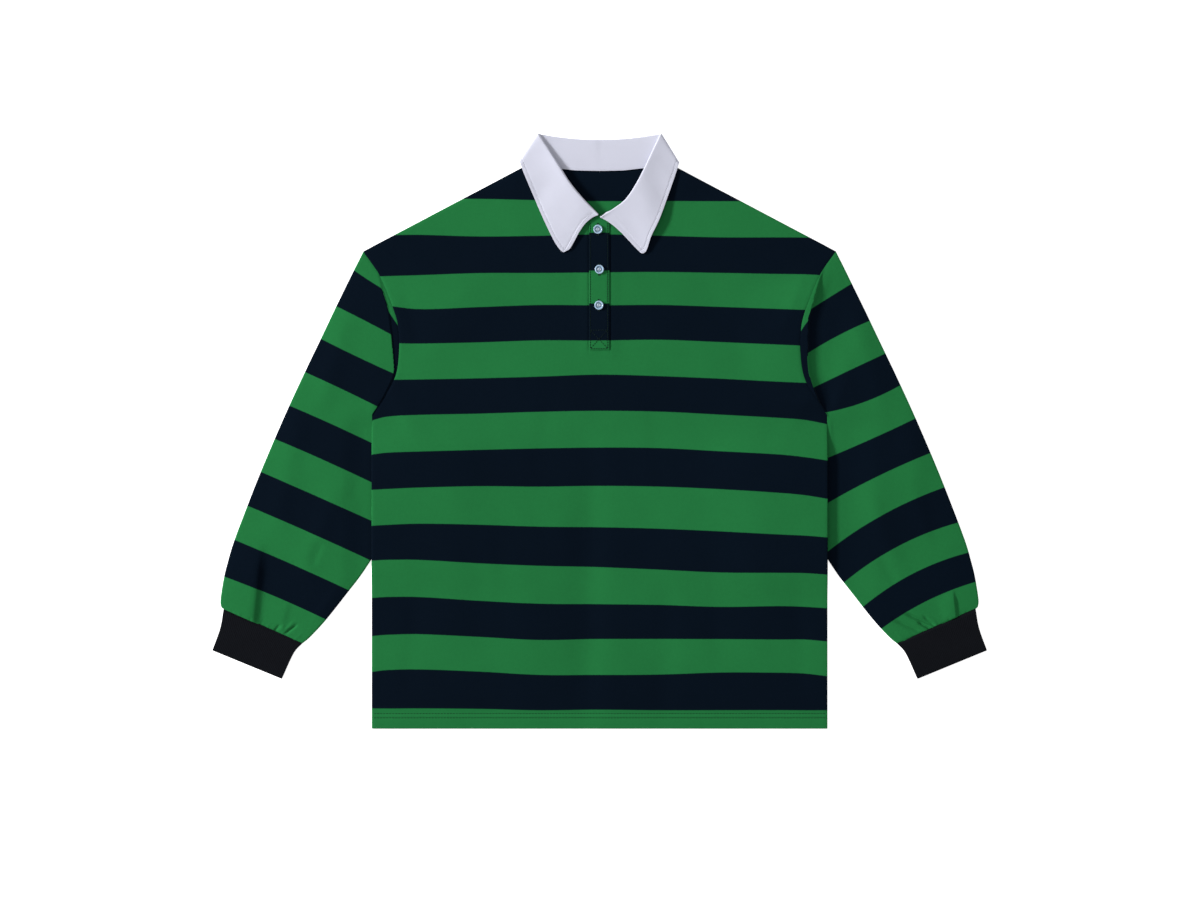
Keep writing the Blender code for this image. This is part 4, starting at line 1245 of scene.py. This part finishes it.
def button(number, x, h, material):
    """A turned button with a raised rim and four holes."""
    z = button_back(x, h)
    profile = rows_at(BUTTON_PROFILE, np.linspace(0, len(BUTTON_PROFILE) - 1, BUTTON_RINGS))
    turned = np.linspace(0, 2 * math.pi, BUTTON_SIDES, endpoint=False)
    radius = np.maximum(profile[:, :1], 0.0)
    high = z + profile[:, 1:] + 0 * turned
    points = np.stack((x + radius * np.cos(turned), h + radius * np.sin(turned), high), axis=-1)
    faces = grid_faces(len(profile), BUTTON_SIDES, ring=True, flip=True)
    # Painted highlight: the rim's vertices are marked so that its colour is painted paler, where
    # light catches the raised rim.
    painted_rim_highlight = np.repeat(smooth(*BUTTON_RIM_HIGHLIGHT, profile[:, 0]), BUTTON_SIDES)
    made = mesh_object(f"button_{number}_pearl", points.reshape(-1, 3), faces, material, painted_rim_highlight)
    cutter = drills(x, h, z)
    cut = made.modifiers.new("holes", "BOOLEAN")
    cut.operation = "DIFFERENCE"
    cut.object = cutter
    bake_modifiers(made)
    bpy.data.objects.remove(cutter)
    return made


def bake_modifiers(made):
    """Applies an object's modifiers, so that their helpers can go."""
    graph = bpy.context.evaluated_depsgraph_get()
    mesh = bpy.data.meshes.new_from_object(made.evaluated_get(graph))
    made.modifiers.clear()
    old = made.data
    made.data = mesh
    mesh.name = old.name
    bpy.data.meshes.remove(old)


# ---- stitches


def stitches(name, paths, material):
    """Rows of short raised stitches along lines on the cloth, joined into one mesh."""
    length, gap, radius = STITCH_SIZES[name]
    sides = STITCH_SIDES
    turns = np.linspace(0, 2 * math.pi, sides, endpoint=False)
    points = []
    faces = []
    count = 0
    for path in paths:
        path = np.asarray(path, float)
        steps = np.linalg.norm(np.diff(path, axis=0), axis=1)
        marks = np.concatenate(([0.0], np.cumsum(steps)))
        number = max(int(round(marks[-1] / (length + gap))), 1)
        pitch = marks[-1] / number
        middles = (np.arange(number) + 0.5) * pitch
        at = middles[:, None] + STITCH_SHARES * length
        centre = np.stack([np.interp(at, marks, path[:, k]) for k in range(3)], axis=-1)
        way = unit(centre[:, -1] - centre[:, 0])
        aside = np.stack((-way[:, 1], way[:, 0], 0 * way[:, 0]), axis=-1)[:, None, :]
        centre[..., 2] += STITCH_RISE * radius
        swell = (STITCH_SWELL * radius)[:, None, None]
        round_way = aside[:, :, None, :] * np.cos(turns)[:, None] + UP * np.sin(turns)[:, None]
        rings = centre[:, :, None, :] + round_way * swell
        for _ in range(number):
            faces += grid_faces(len(STITCH_SHARES), sides, count, ring=True).tolist()
            end = count + len(STITCH_SHARES) * sides
            faces.append(list(range(count, count + sides))[::-1])
            faces.append(list(range(end - sides, end)))
            count = end
        points.append(rings.reshape(-1, 3))
    mesh = new_mesh(name, np.concatenate(points), faces)
    mesh.shade_smooth()
    mesh.materials.append(material)
    return new_object(name, mesh)


def path_on(surface, x, h):
    """A line on a piece's face, through these x and h."""
    x, h = np.broadcast_arrays(x, h)
    return np.stack((x, h, surface(x, h)), axis=-1)


def hem_stitches(material):
    """The twin needle's rows."""
    reach = HALF_CHEST - HEM_STITCH_IN
    x = np.linspace(-reach, reach, 400)
    paths = [path_on(front_face, x, row) for row, _, _ in HEM_GROOVES[:2]]
    return stitches("stitches_hem", paths, material)


def placket_stitches(material):
    """A row up each side, and the crossed box at the foot."""
    left, right, bottom, top = PLACKET_BOX
    up = np.linspace(bottom, PLACKET_STITCH_TOP, 200)
    paths = [path_on(band_top, x, up) for x in PLACKET_STITCH_X]
    corners = np.array(((left, bottom), (right, bottom), (left, top), (right, top)))
    t = np.linspace(0.02, 0.98, 30)[:, None]
    for a, b in ((0, 1), (2, 3), (0, 3), (1, 2)):
        paths.append(path_on(band_top, *lerp(corners[a], corners[b], t).T))
    return stitches("stitches_placket", paths, material)


def buttonholes(material):
    """A bar of close stitches round each slit, behind its button."""
    paths = []
    t = np.linspace(-HOLE_BAR, HOLE_BAR, 4)
    for x, h in BUTTONS:
        for aside in (-HOLE_ASIDE, HOLE_ASIDE):
            for up in np.arange(-HOLE_REACH, HOLE_REACH + 0.01, HOLE_PITCH):
                paths.append(path_on(band_top, x + aside + t, h + up))
    return stitches("buttonholes", paths, material)


def button_threads(material):
    """Two bars of thread across each button, in its four holes."""
    paths = []
    t = np.linspace(-HOLE_OFFSET - THREAD_PAST, HOLE_OFFSET + THREAD_PAST, 7)
    for x, h in BUTTONS:
        base = button_back(x, h) + THREAD_RISE
        for offset in (-HOLE_OFFSET, HOLE_OFFSET):
            for shift in (-THREAD_ASIDE, THREAD_ASIDE):
                bar = np.broadcast_arrays(x + offset + shift, h + t, base)
                paths.append(np.stack(bar, axis=-1))
    return stitches("button_threads", paths, material)


def collar_stitches(material):
    """A row along each leaf's cut edge, and one along its front edge."""
    raised = UP * (COLLAR_WALL / 2 - STITCH_SUNK)
    paths = []
    for side in (-1, 1):
        lines = collar_lines(side, np.linspace(*CUT_STATIONS, 220))
        top = lines[1] + lines[2] * lines[4]
        length = np.linalg.norm(lines[5] - top, axis=1)
        by_cut = fall_points(lines, (1 - TOPSTITCH_IN / length)[:, None])[:, 0]
        front = len(COLLAR_ROWS) - 1 - TOPSTITCH_IN / COLLAR_STEP
        lines = collar_lines(side, np.array((front,)))
        by_front = fall_points(lines, np.linspace(*END_SHARES, 60)[None, :])[0]
        paths += [(path + raised) * (side, 1, 1) for path in (by_cut, by_front)]
    return stitches("stitches_collar", paths, material)


# ---- materials


class Look:
    """A material, and its nodes, each joined to what feeds it as it is made."""

    def __init__(self, name, roughness, specular, sheen=0.0, sheen_rough=0.4):
        self.material = bpy.data.materials.new(name)
        self.material.use_nodes = True
        self.tree = self.material.node_tree
        self.shader = self.tree.nodes["Principled BSDF"]
        self.feed(self.shader, {"Roughness": roughness, "Specular IOR Level": specular})
        self.feed(self.shader, {"Sheen Weight": sheen, "Sheen Roughness": sheen_rough})

    def feed(self, node, inputs):
        """Gives a node's inputs their constants, and the outputs that feed them."""
        for key, value in inputs.items():
            if hasattr(value, "is_linked"):
                self.tree.links.new(value, node.inputs[key])
            else:
                node.inputs[key].default_value = value

    def node(self, kind, inputs, **settings):
        """A new node; its settings come first, because some decide what its inputs are."""
        made = self.tree.nodes.new("ShaderNode" + kind)
        for key, value in settings.items():
            setattr(made, key, value)
        self.feed(made, inputs)
        return made

    def maths(self, operation, *values):
        return self.node("Math", dict(enumerate(values)), operation=operation).outputs[0]

    def times(self, first, second):
        return self.maths("MULTIPLY", first, second)

    def linear(self, value, slope, start):
        """A socket's value, scaled and moved."""
        return self.maths("MULTIPLY_ADD", value, slope, start)

    def cloth(self):
        """The cloth's own directions in millimetres, as two sockets."""
        place = self.node("UVMap", {}, uv_map="cloth").outputs["UV"]
        split = self.node("SeparateXYZ", {0: place})
        return [self.times(split.outputs[axis], 1 / MM) for axis in "XY"]

    def knit(self, wale, course):
        """Columns of V-shaped loops, 0 between them and 1 on a loop."""
        u, v = self.cloth()
        column = self.maths("FRACT", self.maths("DIVIDE", u, wale))
        from_middle = self.maths("ABSOLUTE", self.maths("SUBTRACT", column, 0.5))
        crown = self.maths("SUBTRACT", 1.0, self.maths("POWER", self.times(from_middle, 2.0), 2.5))
        slant = self.times(from_middle, 1.3)
        row = self.maths("ADD", self.maths("DIVIDE", v, course), slant)
        wave = self.maths("SINE", self.times(row, 2 * math.pi))
        return self.times(crown, self.linear(wave, 0.28, 0.72))

    def noise(self, scale, detail=2.0, rough=0.5):
        place = self.node("TexCoord", {}).outputs["Object"]
        inputs = {"Vector": place, "Scale": scale, "Detail": detail, "Roughness": rough}
        return self.node("TexNoise", inputs).outputs["Fac"]

    def attribute(self):
        """What each vertex keeps: its distance to a stripe's edge, or how much of a button's
        painted rim highlight it gets.
        """
        return self.node("Attribute", {}, attribute_name="green").outputs["Fac"]

    def paint(self, colour, factor):
        """Gives the shader its colour, lighter or darker by a socket's factor."""
        made = self.node("VectorMath", {0: colour, "Scale": factor}, operation="SCALE")
        self.feed(self.shader, {"Base Color": made.outputs[0]})

    def bump(self, height, distance, strength):
        inputs = {"Distance": distance * MM, "Strength": strength, "Height": height}
        self.feed(self.shader, {"Normal": self.node("Bump", inputs).outputs["Normal"]})


def striped(look, fibre):
    """Green and navy, with the stripes' edges roughened by the fibres."""
    edge = look.maths("ADD", look.attribute(), look.linear(fibre, 0.9, -0.45))
    share = look.node("MapRange", {"From Min": -0.2, "From Max": 0.7, "Value": edge})
    colours = {0: share.outputs["Result"], 6: NAVY, 7: GREEN}
    return look.node("Mix", colours, data_type="RGBA").outputs[2]


def jersey_material(name, plain=False):
    """Yarn-dyed cotton jersey: green and navy stripes in a fine knit."""
    look = Look(name, roughness=0.86, specular=0.03, sheen=0.02)
    loops = look.knit(wale=1.15, course=0.85)
    fibre = look.noise(1400.0, 2.0, 0.6)
    colour = NAVY[:3] if plain else striped(look, fibre)
    broad = look.linear(look.noise(9.0, 3.0), 0.16, 0.92)
    fine = look.linear(look.noise(260.0, 3.0, 0.6), 0.14, 0.93)
    look.paint(colour, look.times(look.times(broad, fine), look.linear(loops, 0.22, 0.86)))
    look.feed(look.shader, {"Roughness": look.linear(fibre, 0.12, 0.8)})
    look.bump(look.linear(fibre, 0.35, loops), distance=0.12, strength=0.7)
    return look.material


def twill_material():
    """The collar's white cotton twill, with its fine slanting lines."""
    look = Look("collar_twill", roughness=0.8, specular=0.06, sheen=0.05)
    u, v = look.cloth()
    slant = look.linear(u, 1.35, v)
    rib = look.maths("SINE", look.times(slant, 2 * math.pi / TWILL_LINES))
    yarn = look.maths("SINE", look.times(v, 2 * math.pi / TWILL_YARN))
    weave = look.linear(yarn, 0.12, look.linear(rib, 0.3, 0.55))
    fibre = look.noise(1100.0, 2.0, 0.6)
    broad = look.linear(look.noise(18.0, 3.0), 0.08, 0.96)
    look.paint(WHITE_COTTON, look.times(broad, look.linear(weave, 0.06, 0.97)))
    look.bump(look.linear(fibre, 0.3, weave), distance=0.1, strength=0.6)
    return look.material


def rib_material():
    """The cuffs' black rib knit."""
    look = Look("cuff_rib", roughness=0.9, specular=0.03, sheen=0.02, sheen_rough=0.5)
    loops = look.knit(wale=1.3, course=0.9)
    fibre = look.noise(1300.0, 2.0, 0.6)
    broad = look.linear(look.noise(30.0, 3.0), 0.3, 0.85)
    look.paint(RIB_BLACK, look.times(broad, look.linear(loops, 0.4, 0.75)))
    look.bump(look.linear(fibre, 0.3, loops), distance=0.14, strength=0.7)
    return look.material


def thread_material(name, colour):
    """Spun sewing thread, with a slight twist."""
    look = Look(name, roughness=0.7, specular=0.08, sheen=0.03)
    twist = look.noise(2200.0, 1.0)
    look.paint(colour, look.linear(twist, 0.4, 0.8))
    look.bump(twist, distance=0.05, strength=0.6)
    return look.material


def pearl_material():
    """Pale blue-grey pearly buttons, with a painted highlight that makes the rim paler."""
    look = Look("button_pearl", roughness=0.22, specular=0.5)
    look.feed(look.shader, {"Coat Weight": 0.35, "Coat Roughness": 0.12})
    clouds = look.noise(420.0, 4.0, 0.55)
    # Painted highlight: the rim is painted paler, for the light on the raised rim.
    painted_rim_highlight = look.linear(look.attribute(), 0.45, 0.8)
    look.paint(BUTTON_PEARL, look.times(look.linear(clouds, 0.35, 0.83), painted_rim_highlight))
    look.feed(look.shader, {"Roughness": look.linear(clouds, 0.2, 0.14)})
    look.bump(clouds, distance=0.03, strength=0.4)
    return look.material


def floor_material():
    """A plain white studio floor, bright enough to read as white."""
    look = Look("floor_white", roughness=0.9, specular=0.1)
    look.paint(FLOOR_WHITE, look.linear(look.noise(60.0), 0.01, 0.99))
    look.feed(look.shader, {"Emission Color": WHITE_LIGHT, "Emission Strength": FLOOR_GLOW})
    return look.material


# ---- stage


def make_floor():
    signs = ((-1, -1), (1, -1), (1, 1), (-1, 1))
    corners = [(a * FLOOR_REACH, b * FLOOR_REACH, 0.0) for a, b in signs]
    mesh = bpy.data.meshes.new("floor")
    mesh.from_pydata(corners, [], [(0, 1, 2, 3)])
    mesh.materials.append(floor_material())
    floor = new_object("floor", mesh)
    floor.location.z = FLOOR_Z


def make_lights():
    world = bpy.data.worlds.new("studio")
    world.use_nodes = True
    background = world.node_tree.nodes["Background"]
    background.inputs["Color"].default_value = WHITE_LIGHT
    background.inputs["Strength"].default_value = WORLD_STRENGTH
    bpy.context.scene.world = world
    up = math.radians(KEY_ELEVATION)
    turn = math.radians(KEY_TURN)
    away = Vector((math.cos(up) * math.cos(turn), math.cos(up) * math.sin(turn), math.sin(up)))
    lamp = bpy.data.lights.new("key", "AREA")
    lamp.shape = "RECTANGLE"
    lamp.size, lamp.size_y = KEY_SIZE
    lamp.energy = KEY_POWER
    lamp.spread = math.radians(KEY_SPREAD)
    key = new_object("key", lamp)
    key.location = Vector(KEY_AIM) + KEY_DISTANCE * away
    key.rotation_euler = (-away).to_track_quat("-Z", "Y").to_euler()


def make_camera():
    data = bpy.data.cameras.new("camera")
    data.sensor_width = SENSOR
    data.lens = SENSOR * CAMERA_HEIGHT / PHOTO_WIDTH
    data.clip_end = CLIP_END
    camera = new_object("camera", data)
    camera.location = (*PHOTO_CENTRE, CAMERA_HEIGHT)
    bpy.context.scene.camera = camera
    bpy.context.scene.view_settings.view_transform = "Standard"


# ---- the shirt


def make_body(jersey):
    fine = [row + step for row, _, _ in HEM_GROOVES for step in GROOVE_STEPS]
    fine += HEM_STEPS
    edges = (ARMHOLE_FRONT, FRONT_INNER, FRONT_NECK)
    front = panel("front_cloth", 1, edges, PANEL_GRID, NEAR_MIDDLE, fine, jersey)
    dress(front, "front")
    edges = (ARMHOLE_BACK, BACK_INNER, BACK_NECK)
    back = panel("back_cloth", -1, edges, BACK_GRID, (0.0, 6.0), [1.0], jersey)
    dress(back, "back")
    return front


def make_sleeves(jersey, rib):
    for word, side in (("left", 1), ("right", -1)):
        made = dress(sleeve(f"sleeve_{word}_cloth", side, jersey), f"sleeve_{word}")
        made = dress(cuff(f"cuff_{word}_rib", side, rib), f"cuff_{word}")


def make_bands(jersey):
    below = LIE + TOP_BAND_WALL
    top = band(
        "placket_top_cloth", TOP_BAND, TOP_BAND_EDGE, below, TOP_BAND_WALL, jersey, BAND_SOFT
    )
    dark = jersey_material("jersey_navy", plain=True)
    under = band(
        "placket_under_cloth", UNDER_BAND, UNDER_BAND_EDGE, -WALL - LIE, UNDER_BAND_WALL, dark, 0.0
    )
    return dress(top, "placket_top"), dress(under, "placket_under")


def main():
    jersey = jersey_material("jersey_stripes")
    twill = twill_material()
    # The green thread's darkness is partly painted shade from the stitch grooves.
    shaded_green_thread = thread_material("thread_green_shaded", THREAD_GREEN_SHADED)
    front = make_body(jersey)
    make_sleeves(jersey, rib_material())
    top, under = make_bands(jersey)
    made = dress(collar("collar_cloth", twill), "collar")
    pearl = pearl_material()
    for number, (x, h) in enumerate(BUTTONS, 1):
        dress(button(number, x, h, pearl), f"button_{number}")
    hem = dress(hem_stitches(shaded_green_thread))
    sewn = dress(placket_stitches(shaded_green_thread))
    holes = dress(buttonholes(shaded_green_thread))
    white_thread = thread_material("thread_white", THREAD_WHITE)
    dress(button_threads(white_thread))
    edge = dress(collar_stitches(white_thread))
    make_floor()
    make_lights()
    make_camera()


main()
